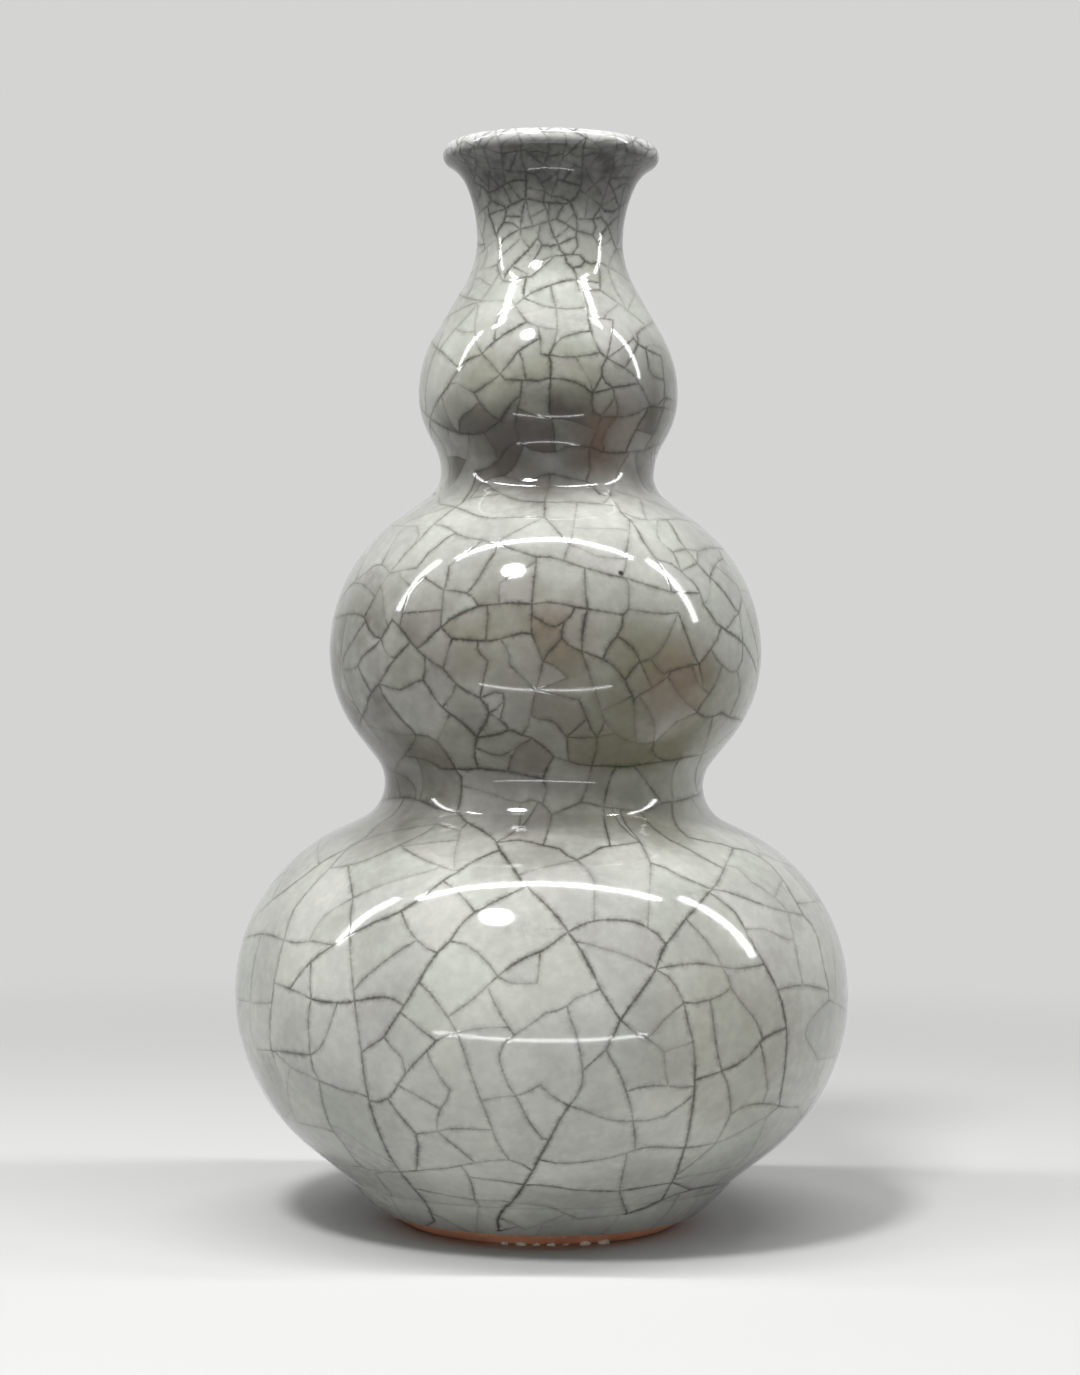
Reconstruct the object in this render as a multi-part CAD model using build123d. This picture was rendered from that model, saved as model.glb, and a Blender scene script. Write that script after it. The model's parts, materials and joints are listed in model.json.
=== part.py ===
from build123d import *
import os
from math import atan2, cos, sin, tan

# A triple gourd vase in crackled glaze. Bowls and shoulders are thrown apart and luted rim to rim with slip
# into three bulbs, with a flared mouth on top and a turned foot ring below, then coated with glaze outside,
# inside and under the base. Millimetres, +Z up, origin in the middle of the foot's contact face.

# Radii of the glazed outside, from the foot up
FOOT_RADIUS = 30.8
CREASE_RADIUS = 44.2
LOWER_BELLY_RADIUS = 71.0
LOWER_WAIST_RADIUS = 37.0
MIDDLE_BELLY_RADIUS = 50.2
UPPER_WAIST_RADIUS = 24.8
UPPER_BELLY_RADIUS = 30.2
NECK_RADIUS = 17.0
LIP_RADIUS = 25.2

# Rise of each stretch, from the foot up
FOOT_HEIGHT = 10.5
LOWER_BOWL_RISE = 43.0
LOWER_SHOULDER_RISE = 48.0
MIDDLE_BOWL_RISE = 30.6
MIDDLE_SHOULDER_RISE = 41.4
UPPER_BOWL_RISE = 18.5
UPPER_SHOULDER_RISE = 36.0
FLARE_RISE = 12.5
LIP_RISE = 7.0

# How much of each stretch's turning belongs to the lower of its two arcs
LOWER_SHOULDER_BEND_SHARE = 0.82
MIDDLE_BOWL_BEND_SHARE = 0.22
MIDDLE_SHOULDER_BEND_SHARE = 0.84
UPPER_BOWL_BEND_SHARE = 0.42
UPPER_SHOULDER_BEND_SHARE = 0.55

# How straight each stretch runs between its arcs
LOWER_BOWL_STRAIGHT_SHARE = 0.38
LOWER_SHOULDER_STRAIGHT_SHARE = 0.16
MIDDLE_BOWL_STRAIGHT_SHARE = 0.34
MIDDLE_SHOULDER_STRAIGHT_SHARE = 0.28
UPPER_BOWL_STRAIGHT_SHARE = 0.20
UPPER_SHOULDER_STRAIGHT_SHARE = 0.50

# How far out the mouth's long flare reaches, from the neck to the lip, before it turns under the lip
FLARE_REACH_SHARE = 0.32

# Layers of the wall, from the outside in
OUTER_GLAZE = 0.8
CLAY_WALL = 3.4
INNER_GLAZE = 0.8

# Foot ring: a bulging outer wall, a flat contact face and a tapered recess
FOOT_WALL_BULGE = 0.8
FOOT_CONTACT_WIDTH = 3.2
FOOT_TOP_WIDTH = 16.6
FOOT_GLAZE_LINE = 3.4
BASE_GLAZE = 0.7
RECESS_GLAZE_DEPTH = 5.5

# Luted joints: a ridge on the lower rim, a groove in the upper one and slip between them
SLIP_THICKNESS = 0.4
JOINT_RIDGE_HEIGHT = 1.1

# Crumbs of kiln grit fused to the foot's lower edge: turn from the front in degrees, size as a share
GRIT_RADIUS = 1.1
GRIT_TURNS = (-14.0, -7.0, -1.0, 5.0, 11.0, 19.0, 27.0)
GRIT_SIZE_SHARES = (0.6, 0.8, 0.55, 0.7, 0.5, 0.85, 1.0)
GRIT_LIFT_SHARE = 1.0
GRIT_REACH_SHARE = 0.3

# How far every cutter reaches past what it cuts
OVERRUN = 2.0

WALL = OUTER_GLAZE + CLAY_WALL + INNER_GLAZE
UP, DOWN = (0, 1), (0, -1)

# Stations of the outline as (radius, height). The wall stands upright at all but the crease and the flare.
crease = Vector(CREASE_RADIUS, FOOT_HEIGHT)
lower_belly = Vector(LOWER_BELLY_RADIUS, crease.Y + LOWER_BOWL_RISE)
lower_waist = Vector(LOWER_WAIST_RADIUS, lower_belly.Y + LOWER_SHOULDER_RISE)
middle_belly = Vector(MIDDLE_BELLY_RADIUS, lower_waist.Y + MIDDLE_BOWL_RISE)
upper_waist = Vector(UPPER_WAIST_RADIUS, middle_belly.Y + MIDDLE_SHOULDER_RISE)
upper_belly = Vector(UPPER_BELLY_RADIUS, upper_waist.Y + UPPER_BOWL_RISE)
neck = Vector(NECK_RADIUS, upper_belly.Y + UPPER_SHOULDER_RISE)
flare = Vector(NECK_RADIUS + (LIP_RADIUS - NECK_RADIUS) * FLARE_REACH_SHARE, neck.Y + FLARE_RISE)
lip = Vector(LIP_RADIUS, flare.Y + LIP_RISE)

# Stretches between upright stations: lower end, upper end, share of the lower arc, straight share
SPANS = (
    (lower_belly, lower_waist, LOWER_SHOULDER_BEND_SHARE, LOWER_SHOULDER_STRAIGHT_SHARE),
    (lower_waist, middle_belly, MIDDLE_BOWL_BEND_SHARE, MIDDLE_BOWL_STRAIGHT_SHARE),
    (middle_belly, upper_waist, MIDDLE_SHOULDER_BEND_SHARE, MIDDLE_SHOULDER_STRAIGHT_SHARE),
    (upper_waist, upper_belly, UPPER_BOWL_BEND_SHARE, UPPER_BOWL_STRAIGHT_SHARE),
    (upper_belly, neck, UPPER_SHOULDER_BEND_SHARE, UPPER_SHOULDER_STRAIGHT_SHARE),
)
JOINT_STATIONS = {
    "lower_belly_slip_seam": lower_belly,
    "lower_waist_slip_seam": lower_waist,
    "middle_belly_slip_seam": middle_belly,
    "upper_waist_slip_seam": upper_waist,
    "upper_belly_slip_seam": upper_belly,
    "neck_slip_seam": neck,
}
CLAY_PIECES = (
    "foot_ring",
    "base_disc",
    "lower_bulb_bowl",
    "lower_bulb_shoulder",
    "middle_bulb_bowl",
    "middle_bulb_shoulder",
    "upper_bulb_bowl",
    "upper_bulb_shoulder",
    "mouth_flare",
)


def along(lean):
    """The direction up the wall where it leans out by an angle."""
    return Vector(sin(lean), cos(lean))


def outward(lean):
    """The outward normal of the wall where it leans out by an angle."""
    return Vector(cos(lean), -sin(lean))


def lean_between(low, high, straight_share):
    """The steepest lean of a stretch that turns in arcs between two stations, in radians."""
    return (2 - straight_share) * atan2(high.X - low.X, high.Y - low.Y)


def inset(station, depth):
    """A station's point at a depth inside the glazed outside."""
    return station - Vector(depth, 0)


def bends(low, high, bend_share, straight_share, depth):
    """The points at a depth where the lower arc of a stretch ends and its upper arc begins."""
    lean = lean_between(low, high, straight_share)
    turn = high.Y - low.Y - (high.X - low.X) / tan(lean)
    lower_turn, upper_turn = turn * bend_share, turn * (1 - bend_share)
    lower_bend = low + Vector(0, lower_turn) + along(lean) * lower_turn
    upper_bend = high - Vector(0, upper_turn) - along(lean) * upper_turn
    return lower_bend - outward(lean) * depth, upper_bend - outward(lean) * depth


def span(low, high, bend_share, straight_share, depth):
    """The edges of a stretch between two upright stations at a depth."""
    lower_bend, upper_bend = bends(low, high, bend_share, straight_share, depth)
    return [
        TangentArc(inset(low, depth), lower_bend, tangent=UP),
        Line(lower_bend, upper_bend),
        TangentArc(inset(high, depth), upper_bend, tangent=DOWN),
    ]


def crease_lean():
    """The lean of the bottom bowl where it runs straight down to the crease."""
    return lean_between(crease, lower_belly, LOWER_BOWL_STRAIGHT_SHARE)


def crease_at(depth):
    """The lower end of the bottom bowl at a depth."""
    return crease - outward(crease_lean()) * depth


def bottom_bowl(depth):
    """The edges of the bottom bowl at a depth: straight up from the crease, then an arc to the belly."""
    bend = bends(crease, lower_belly, 0, LOWER_BOWL_STRAIGHT_SHARE, depth)[1]
    return [Line(crease_at(depth), bend), TangentArc(inset(lower_belly, depth), bend, tangent=DOWN)]


def lip_end():
    """The point under the lip where its round meets the cove, and the wall's lean there."""
    middle = inset(lip, WALL / 2)
    normal = outward(lean_between(neck, flare, 0))
    gap = flare - middle
    cove_radius = (gap.dot(gap) - WALL**2 / 4) / (WALL - 2 * gap.dot(normal))
    cove_middle = flare + normal * cove_radius
    toward = (middle - cove_middle).normalized()
    return cove_middle + toward * cove_radius, atan2(toward.Y, -toward.X)


def lip_at(depth):
    """The end of the cove at a depth, where the round lip begins."""
    point, lean = lip_end()
    return point - outward(lean) * depth


def mouth(depth):
    """The edges of the mouth at a depth: a long flare up from the neck, then a cove under the lip."""
    lean = lean_between(neck, flare, 0)
    turn = flare - outward(lean) * depth
    return [
        TangentArc(inset(neck, depth), turn, tangent=UP),
        TangentArc(turn, lip_at(depth), tangent=along(lean)),
    ]


def outline(depth):
    """The edges of the wall at a depth, from the crease above the foot to the start of the lip."""
    edges = bottom_bowl(depth)
    for stretch in SPANS:
        edges += span(*stretch, depth)
    return edges + mouth(depth)


def lip_cap(outer_depth, inner_depth):
    """The half circle that closes the wall between two depths at the mouth."""
    start, end = lip_at(outer_depth), lip_at(inner_depth)
    tip = (start + end) / 2 + along(lip_end()[1]) * (inner_depth - outer_depth) / 2
    return ThreePointArc(start, tip, end)


def foot_wall(proud):
    """The foot ring's bulging outer wall, moved out by the glaze on it."""
    top = Vector(CREASE_RADIUS - OUTER_GLAZE + proud, FOOT_HEIGHT)
    bottom = Vector(FOOT_RADIUS + proud, 0)
    chord = top - bottom
    bulge = Vector(chord.Y, -chord.X).normalized() * FOOT_WALL_BULGE
    return ThreePointArc(top, (top + bottom) / 2 + bulge, bottom)


def recess_radius(height):
    """The radius of the recess under the base, which tapers between the contact face and its ceiling."""
    rim, ceiling = FOOT_RADIUS - FOOT_CONTACT_WIDTH, CREASE_RADIUS - OUTER_GLAZE - FOOT_TOP_WIDTH
    return rim + (ceiling - rim) * height / FOOT_HEIGHT


def strip(points):
    """A flat face with straight sides."""
    return make_face(Polyline(*points, close=True).edges())


def turned(face):
    """The solid that a half section makes when it turns about +Z."""
    return revolve(Plane.XZ * face, axis=Axis.Z)


def clay_section():
    """The half section of all the clay and slip, from the foot's contact face to the lip."""
    inside = WALL - INNER_GLAZE
    floor = crease_at(inside)
    rim_top, rim_bottom = crease_at(OUTER_GLAZE), Vector(CREASE_RADIUS - OUTER_GLAZE, FOOT_HEIGHT)
    base_and_foot = Polyline(
        floor,
        (0, floor.Y),
        (0, FOOT_HEIGHT),
        (recess_radius(FOOT_HEIGHT), FOOT_HEIGHT),
        (recess_radius(0), 0),
        (FOOT_RADIUS, 0),
    )
    return make_face(
        [
            *outline(OUTER_GLAZE),
            lip_cap(OUTER_GLAZE, inside),
            *outline(inside),
            *base_and_foot.edges(),
            foot_wall(0),
            Line(rim_bottom, rim_top),
        ]
    )


def slip_sections():
    """The half section of each film of slip, cut past the wall at both ends, by the seam's name."""
    rise = along(crease_lean()) * SLIP_THICKNESS
    outer, inner = crease_at(-OVERRUN), crease_at(WALL)
    recess = recess_radius(FOOT_HEIGHT)
    sections = {
        "foot_slip_seam": strip(
            [
                (recess - OVERRUN, FOOT_HEIGHT),
                (CREASE_RADIUS, FOOT_HEIGHT),
                (CREASE_RADIUS, FOOT_HEIGHT - SLIP_THICKNESS),
                (recess - OVERRUN, FOOT_HEIGHT - SLIP_THICKNESS),
            ]
        ),
        "base_slip_seam": strip([outer, inner, inner + rise, outer + rise]),
    }
    for name, station in JOINT_STATIONS.items():
        sections[name] = ridge_film(station)
    return sections


def ridge_film(station):
    """The film of slip over a joint's ridge, level with a station of the outline."""
    ridge = station.X - OUTER_GLAZE - CLAY_WALL / 2
    low = station.Y - SLIP_THICKNESS / 2
    high = low + SLIP_THICKNESS
    return strip(
        [
            (station.X + OVERRUN, low),
            (ridge, low + JOINT_RIDGE_HEIGHT),
            (station.X - WALL - OVERRUN, low),
            (station.X - WALL - OVERRUN, high),
            (ridge, high + JOINT_RIDGE_HEIGHT),
            (station.X + OVERRUN, high),
        ]
    )


def outer_glaze():
    """The coat outside, from the glaze line on the foot up over the lip."""
    inside = WALL - INNER_GLAZE
    rim_top, rim_bottom = crease_at(OUTER_GLAZE), Vector(CREASE_RADIUS - OUTER_GLAZE, FOOT_HEIGHT)
    coat = make_face(
        [
            *outline(0),
            lip_cap(0, WALL),
            Line(lip_at(WALL), lip_at(inside)),
            lip_cap(OUTER_GLAZE, inside),
            *outline(OUTER_GLAZE),
            Line(rim_top, rim_bottom),
            foot_wall(0),
            Line((FOOT_RADIUS, 0), (FOOT_RADIUS + OUTER_GLAZE, 0)),
            foot_wall(OUTER_GLAZE),
        ]
    )
    bare = strip(
        [
            (0, -OVERRUN),
            (CREASE_RADIUS + OVERRUN, -OVERRUN),
            (CREASE_RADIUS + OVERRUN, FOOT_GLAZE_LINE),
            (0, FOOT_GLAZE_LINE),
        ]
    )
    return turned(coat - bare)


def inner_glaze():
    """The coat inside, from the lip down the wall and across the floor."""
    inside = WALL - INNER_GLAZE
    floor, clay_floor = crease_at(WALL), crease_at(inside)
    bottom = Polyline(floor, (0, floor.Y), (0, clay_floor.Y), clay_floor)
    return turned(
        make_face(
            [*outline(WALL), *outline(inside), Line(lip_at(WALL), lip_at(inside)), *bottom.edges()]
        )
    )


def base_glaze():
    """The coat under the base and part of the way down the recess."""
    ceiling = FOOT_HEIGHT - BASE_GLAZE
    edge = FOOT_HEIGHT - RECESS_GLAZE_DEPTH
    return turned(
        strip(
            [
                (0, FOOT_HEIGHT),
                (recess_radius(FOOT_HEIGHT), FOOT_HEIGHT),
                (recess_radius(edge), edge),
                (recess_radius(edge) - BASE_GLAZE, edge),
                (recess_radius(ceiling) - BASE_GLAZE, ceiling),
                (0, ceiling),
            ]
        )
    )


def kiln_grit(foot):
    """Crumbs fused to the front of the foot's lower edge, clear of the plane that it stands on."""
    wall = foot_wall(0)
    ground = Pos(0, 0, -OVERRUN / 2) * Cylinder(LOWER_BELLY_RADIUS, OVERRUN)
    crumbs = []
    for turn, share in zip(GRIT_TURNS, GRIT_SIZE_SHARES, strict=True):
        radius = GRIT_RADIUS * share
        point = wall @ (1 - radius * GRIT_LIFT_SHARE / wall.length)
        normal = (wall % 1).rotate(Axis.Z, 90)
        middle = point + normal * radius * GRIT_REACH_SHARE
        crumb = Rot(0, 0, turn - 90) * Pos(middle.X, 0, middle.Y) * Sphere(radius)
        crumbs += (crumb - foot - ground).solids()
    return Compound(children=crumbs)


def pieces():
    """Every piece of the vase by its node's name."""
    clay = clay_section()
    slips = slip_sections()
    made = {name: turned(clay & film) for name, film in slips.items()}
    for film in slips.values():
        clay = clay - film
    stacked = sorted(clay.faces(), key=lambda face: face.center().Y)
    for name, face in zip(CLAY_PIECES, stacked, strict=True):
        made[name] = turned(face)
    made["outer_glaze"] = outer_glaze()
    made["inner_glaze"] = inner_glaze()
    made["base_glaze"] = base_glaze()
    made["kiln_grit"] = kiln_grit(made["foot_ring"])
    return made


os.makedirs("parts", exist_ok=True)
for node, shape in pieces().items():
    export_step(shape, f"parts/{node}.step")
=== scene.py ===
import bisect
import json
import logging
import math
import random
from dataclasses import dataclass
from enum import Enum

import bmesh
import bpy
from mathutils import Matrix, Vector, geometry, noise


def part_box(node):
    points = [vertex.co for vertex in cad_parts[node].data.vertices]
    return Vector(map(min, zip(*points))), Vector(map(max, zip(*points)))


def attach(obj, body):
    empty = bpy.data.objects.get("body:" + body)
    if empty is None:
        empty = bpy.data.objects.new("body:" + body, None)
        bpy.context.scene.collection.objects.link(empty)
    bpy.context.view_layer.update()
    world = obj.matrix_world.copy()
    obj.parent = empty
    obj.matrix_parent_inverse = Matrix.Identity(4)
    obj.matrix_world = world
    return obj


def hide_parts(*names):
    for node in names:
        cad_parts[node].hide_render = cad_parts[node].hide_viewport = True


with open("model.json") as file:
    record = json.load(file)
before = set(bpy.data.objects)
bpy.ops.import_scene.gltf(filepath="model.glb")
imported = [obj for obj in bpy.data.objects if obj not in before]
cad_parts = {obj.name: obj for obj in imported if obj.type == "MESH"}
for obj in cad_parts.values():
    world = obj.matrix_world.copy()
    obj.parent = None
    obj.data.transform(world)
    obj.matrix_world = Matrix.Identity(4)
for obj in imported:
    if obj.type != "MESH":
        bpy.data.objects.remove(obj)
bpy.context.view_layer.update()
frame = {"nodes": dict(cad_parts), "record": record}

MM = 0.001
ROOT = "root"
TINY = 1e-12
SAME_PLACE = 1e-9
STRAIGHT_TURN = 1e-6
FOLD_EXCESS = 1.0001
GLAZE_IOR = 1.5
BLACK = (0.0, 0.0, 0.0, 1)
log = logging.getLogger("vase")

Piece = bpy.types.Object
Material = bpy.types.Material
Socket = bpy.types.NodeSocket
Sheet = bmesh.types.BMesh
Cell = bmesh.types.BMFace
Layer = bmesh.types.BMLayerItem
Colour = tuple[float, float, float, float]
Sample = tuple[float, ...]


class Weight(Enum):
    """How dark a crack of the glaze reads."""

    DEEP = 1.0
    STRONG = 0.8
    MEDIUM = 0.55
    FAINT = 0.32
    HAIR = 0.16


@dataclass(frozen=True)
class Crack:
    """One crack seen in the photograph, as the pixels that it passes through."""

    weight: Weight
    pixels: tuple[tuple[int, int], ...]


def crack_of(weight: Weight, places: tuple[int, ...]) -> Crack:
    """A crack from the column and row of each of its pixels in turn."""
    return Crack(weight, tuple(zip(places[::2], places[1::2])))


def deep(*places: int) -> Crack:
    """A crack of the darkest kind."""
    return crack_of(Weight.DEEP, places)


def strong(*places: int) -> Crack:
    """A dark crack."""
    return crack_of(Weight.STRONG, places)


def medium(*places: int) -> Crack:
    """A crack of middling darkness."""
    return crack_of(Weight.MEDIUM, places)


def faint(*places: int) -> Crack:
    """A pale crack."""
    return crack_of(Weight.FAINT, places)


LOWER_BULB_CRACKS = (
    strong(500, 850, 478, 859, 460, 870, 443, 881, 425, 895, 400, 912, 375, 922, 350, 935, 320, 954, 303, 970,
           292, 985),
    medium(443, 881, 456, 890, 468, 903, 475, 912),
    medium(455, 871, 440, 866, 423, 859, 408, 851, 400, 845),
    medium(437, 824, 423, 834, 400, 845, 378, 855, 355, 864, 330, 868),
    strong(465, 821, 480, 829, 495, 840, 500, 851, 508, 861, 516, 872, 523, 883),
    medium(497, 842, 509, 835, 520, 827),
    medium(348, 866, 351, 885, 352, 900, 350, 925, 350, 945, 351, 965, 353, 985, 355, 1005, 358, 1030,
           362, 1055),
    strong(362, 1055, 364, 1075, 368, 1097, 375, 1122, 381, 1138, 388, 1153, 397, 1168, 410, 1184, 423, 1199,
           429, 1208, 434, 1221),
    faint(442, 868, 415, 875, 383, 885, 353, 898, 325, 915, 313, 932, 309, 942),
    medium(330, 868, 315, 883, 303, 897, 294, 909, 287, 928, 283, 942, 279, 958, 275, 978, 272, 1000,
           270, 1020, 270, 1040, 272, 1052),
    medium(247, 937, 265, 934, 284, 940, 298, 943, 312, 941, 333, 946),
    strong(500, 899, 475, 912, 460, 926, 450, 941, 437, 953, 427, 967, 419, 982, 405, 1004, 400, 1012,
           392, 1024, 384, 1037, 370, 1046, 361, 1052),
    medium(273, 982, 290, 989, 302, 994, 311, 999),
    strong(311, 1000, 340, 1003, 355, 1001, 385, 997, 402, 1004),
    medium(312, 961, 310, 980, 310, 1000, 308, 1020, 309, 1040, 310, 1054),
    medium(337, 1003, 331, 1022, 326, 1036, 319, 1049, 311, 1055),
    medium(402, 913, 408, 928, 417, 940, 428, 949, 436, 955),
    medium(417, 940, 405, 947, 390, 957, 375, 969, 362, 980, 354, 990),
    medium(451, 940, 465, 944, 478, 953, 489, 964, 498, 976),
    strong(498, 976, 512, 965, 527, 957, 540, 952, 555, 942, 568, 932, 582, 925, 598, 920, 618, 920, 635, 922,
           650, 929, 666, 940),
    medium(498, 976, 487, 986, 477, 996, 466, 1004, 448, 1017),
    medium(420, 983, 430, 993, 440, 1006, 450, 1020, 457, 1033, 462, 1046, 467, 1062, 473, 1080, 481, 1101,
           487, 1115, 492, 1130, 497, 1142, 503, 1152, 510, 1160),
    medium(488, 987, 494, 1002, 501, 1016, 508, 1027, 514, 1035),
    medium(514, 1035, 503, 1045, 499, 1058, 503, 1072, 508, 1085, 517, 1096),
    faint(499, 978, 510, 983, 525, 984, 537, 983, 539, 968, 540, 953),
    medium(514, 1035, 530, 1025, 546, 1013, 557, 1011, 567, 1006, 576, 998, 588, 994, 599, 989),
    medium(567, 1006, 570, 1018, 575, 1030, 578, 1042, 581, 1056, 583, 1070),
    strong(523, 883, 540, 899, 553, 912, 566, 928, 576, 942, 586, 960, 595, 977, 600, 989, 609, 1003,
           621, 1019),
    faint(576, 941, 595, 946, 612, 951, 630, 957, 645, 964, 657, 968),
    strong(686, 919, 675, 933, 666, 944, 659, 960, 656, 969, 646, 985, 637, 997, 621, 1019, 614, 1034,
           606, 1050),
    medium(686, 919, 697, 930, 708, 943, 717, 956, 722, 967, 728, 977, 731, 988),
    medium(657, 968, 672, 966, 690, 964, 705, 964, 722, 967, 735, 969, 750, 967, 763, 965),
    medium(658, 968, 668, 976, 676, 986, 681, 996, 684, 1003),
    strong(684, 1003, 688, 1022, 693, 1042, 695, 1060, 695, 1080, 694, 1095, 692, 1112, 689, 1130, 685, 1148,
           680, 1162, 676, 1175, 671, 1184),
    medium(684, 1003, 672, 1013, 662, 1022, 655, 1031, 648, 1039),
    faint(621, 1020, 633, 1031, 648, 1039, 658, 1046, 664, 1052),
    medium(684, 1003, 697, 1003, 710, 1000, 720, 996, 731, 988),
    medium(731, 988, 738, 998, 747, 1009, 756, 1021, 763, 1038),
    medium(711, 1000, 713, 1018, 715, 1035, 718, 1055, 722, 1071, 727, 1082, 730, 1098, 731, 1114),
    strong(709, 892, 723, 902, 735, 912, 743, 925, 752, 941, 760, 956, 768, 971, 777, 988, 782, 1002,
           785, 1018, 787, 1035, 786, 1055, 784, 1075, 781, 1092, 779, 1106),
    medium(778, 990, 790, 987, 803, 985, 815, 987, 830, 991),
    strong(674, 820, 680, 830, 688, 837, 705, 841, 722, 844, 733, 848),
    medium(738, 828, 733, 848, 728, 860, 722, 873, 716, 885, 709, 892),
    medium(655, 829, 670, 840, 685, 847, 700, 856, 715, 864, 724, 868),
    medium(640, 842, 646, 853, 651, 863, 666, 868, 680, 876, 695, 882, 708, 888, 725, 891, 742, 897, 758, 903,
           772, 908, 788, 912, 803, 915),
    medium(803, 915, 812, 925, 818, 938, 821, 952, 824, 968, 828, 985, 829, 1000),
    faint(726, 864, 738, 868, 752, 882, 765, 890, 775, 897, 785, 908),
    medium(733, 848, 745, 850, 760, 857, 772, 866, 781, 877, 789, 890, 797, 903, 803, 915),
    faint(783, 880, 775, 892),
    faint(788, 912, 792, 930, 796, 948, 799, 965, 803, 985),
    faint(746, 929, 765, 929, 782, 937, 795, 942),
    strong(500, 842, 520, 840, 543, 845, 560, 849, 568, 856, 577, 860, 590, 854, 602, 847, 620, 845,
           640, 842),
    faint(578, 860, 587, 869, 594, 881, 594, 900, 594, 920),
    faint(519, 875, 537, 869, 558, 864, 577, 860),
    faint(651, 863, 650, 885, 649, 903, 648, 927),
    faint(461, 826, 458, 840, 455, 852, 454, 871),
    faint(403, 846, 425, 843, 458, 840),
    medium(395, 812, 380, 823, 365, 838, 348, 848, 325, 860, 305, 875, 288, 888, 272, 900),
    faint(360, 842, 385, 833, 410, 828, 437, 824),
    medium(401, 1012, 412, 1022, 425, 1033, 436, 1041),
    medium(384, 1037, 392, 1048, 402, 1058, 407, 1071),
    strong(436, 1041, 428, 1050, 416, 1062, 406, 1073, 398, 1085, 390, 1097, 380, 1102, 370, 1101),
    faint(436, 1041, 452, 1034, 475, 1029, 500, 1027, 508, 1027),
    medium(427, 1052, 433, 1066, 440, 1077, 450, 1090, 447, 1100, 440, 1109, 437, 1120, 438, 1132),
    medium(397, 1086, 412, 1093, 426, 1101, 439, 1108),
    strong(388, 1099, 397, 1112, 407, 1124, 416, 1134, 418, 1145, 417, 1158, 418, 1170),
    medium(416, 1134, 432, 1132, 450, 1129, 470, 1129, 492, 1130),
    medium(439, 1131, 450, 1142, 461, 1151, 470, 1158, 476, 1165),
    medium(380, 1171, 400, 1172, 425, 1170, 450, 1168, 470, 1164, 490, 1161, 509, 1160, 522, 1164, 533, 1171),
    medium(462, 1167, 469, 1177, 473, 1190, 475, 1200),
    medium(469, 1177, 482, 1179, 500, 1181, 524, 1185),
    deep(569, 1106, 561, 1118, 553, 1133, 546, 1146, 539, 1159, 532, 1172, 524, 1185, 518, 1194, 512, 1202,
         503, 1210, 498, 1220, 499, 1231),
    medium(583, 1070, 582, 1084, 577, 1096, 569, 1106),
    medium(540, 1160, 555, 1163, 575, 1163, 592, 1161, 610, 1158, 625, 1154, 637, 1149, 655, 1147, 675, 1148,
           695, 1147, 716, 1143),
    strong(524, 1185, 540, 1185, 556, 1187, 575, 1190, 600, 1191, 620, 1191, 640, 1188, 658, 1185, 671, 1183),
    faint(450, 1196, 475, 1200, 500, 1201, 515, 1203, 535, 1205, 552, 1208, 566, 1214, 578, 1219),
    faint(499, 1218, 512, 1223, 525, 1230),
    deep(640, 1210, 650, 1206, 662, 1200, 675, 1195, 690, 1190, 705, 1187, 722, 1184),
    medium(606, 1050, 612, 1061, 618, 1070, 624, 1085, 630, 1103, 633, 1120, 635, 1138, 635, 1150),
    medium(627, 1154, 624, 1168, 621, 1182, 620, 1193, 624, 1206, 628, 1217),
    medium(569, 1106, 585, 1111, 600, 1117, 616, 1121, 633, 1121, 650, 1120, 665, 1116, 677, 1108, 692, 1097),
    medium(626, 1092, 638, 1088, 652, 1086, 668, 1086, 682, 1088, 695, 1086),
    faint(664, 1052, 665, 1066, 667, 1086),
    faint(664, 1052, 678, 1047, 693, 1043),
    strong(695, 1082, 708, 1076, 722, 1071, 736, 1065, 748, 1057, 756, 1048, 763, 1039, 774, 1033, 786, 1028),
    medium(760, 1043, 764, 1058, 766, 1075, 768, 1090, 764, 1103),
    medium(731, 1114, 741, 1108, 755, 1104, 770, 1104, 785, 1107, 798, 1107),
    faint(829, 1000, 818, 1011, 808, 1024, 805, 1035, 812, 1048, 818, 1060),
    strong(271, 1051, 285, 1052, 298, 1054, 311, 1055),
    medium(311, 1055, 313, 1070, 319, 1081, 330, 1085, 345, 1091, 358, 1093, 369, 1097),
    faint(277, 1053, 290, 1067, 305, 1074, 319, 1081),
    medium(319, 1081, 322, 1100, 327, 1118, 334, 1132, 343, 1143, 352, 1156, 362, 1167, 374, 1173),
    faint(290, 1067, 287, 1085, 288, 1100, 294, 1117),
    faint(283, 1116, 300, 1123, 316, 1127, 331, 1130),
    medium(516, 1096, 521, 1105, 527, 1118, 536, 1131, 543, 1139, 550, 1138),
    medium(517, 1096, 530, 1091, 540, 1085, 549, 1094, 560, 1101, 569, 1106),
    faint(482, 1102, 495, 1098, 508, 1096, 517, 1096),
    faint(716, 1143, 735, 1135, 757, 1122, 775, 1112),
    faint(262, 935, 256, 953, 252, 975, 250, 1000, 250, 1030, 256, 1050),
    faint(238, 1000, 255, 1003, 272, 1003),
)
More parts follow.
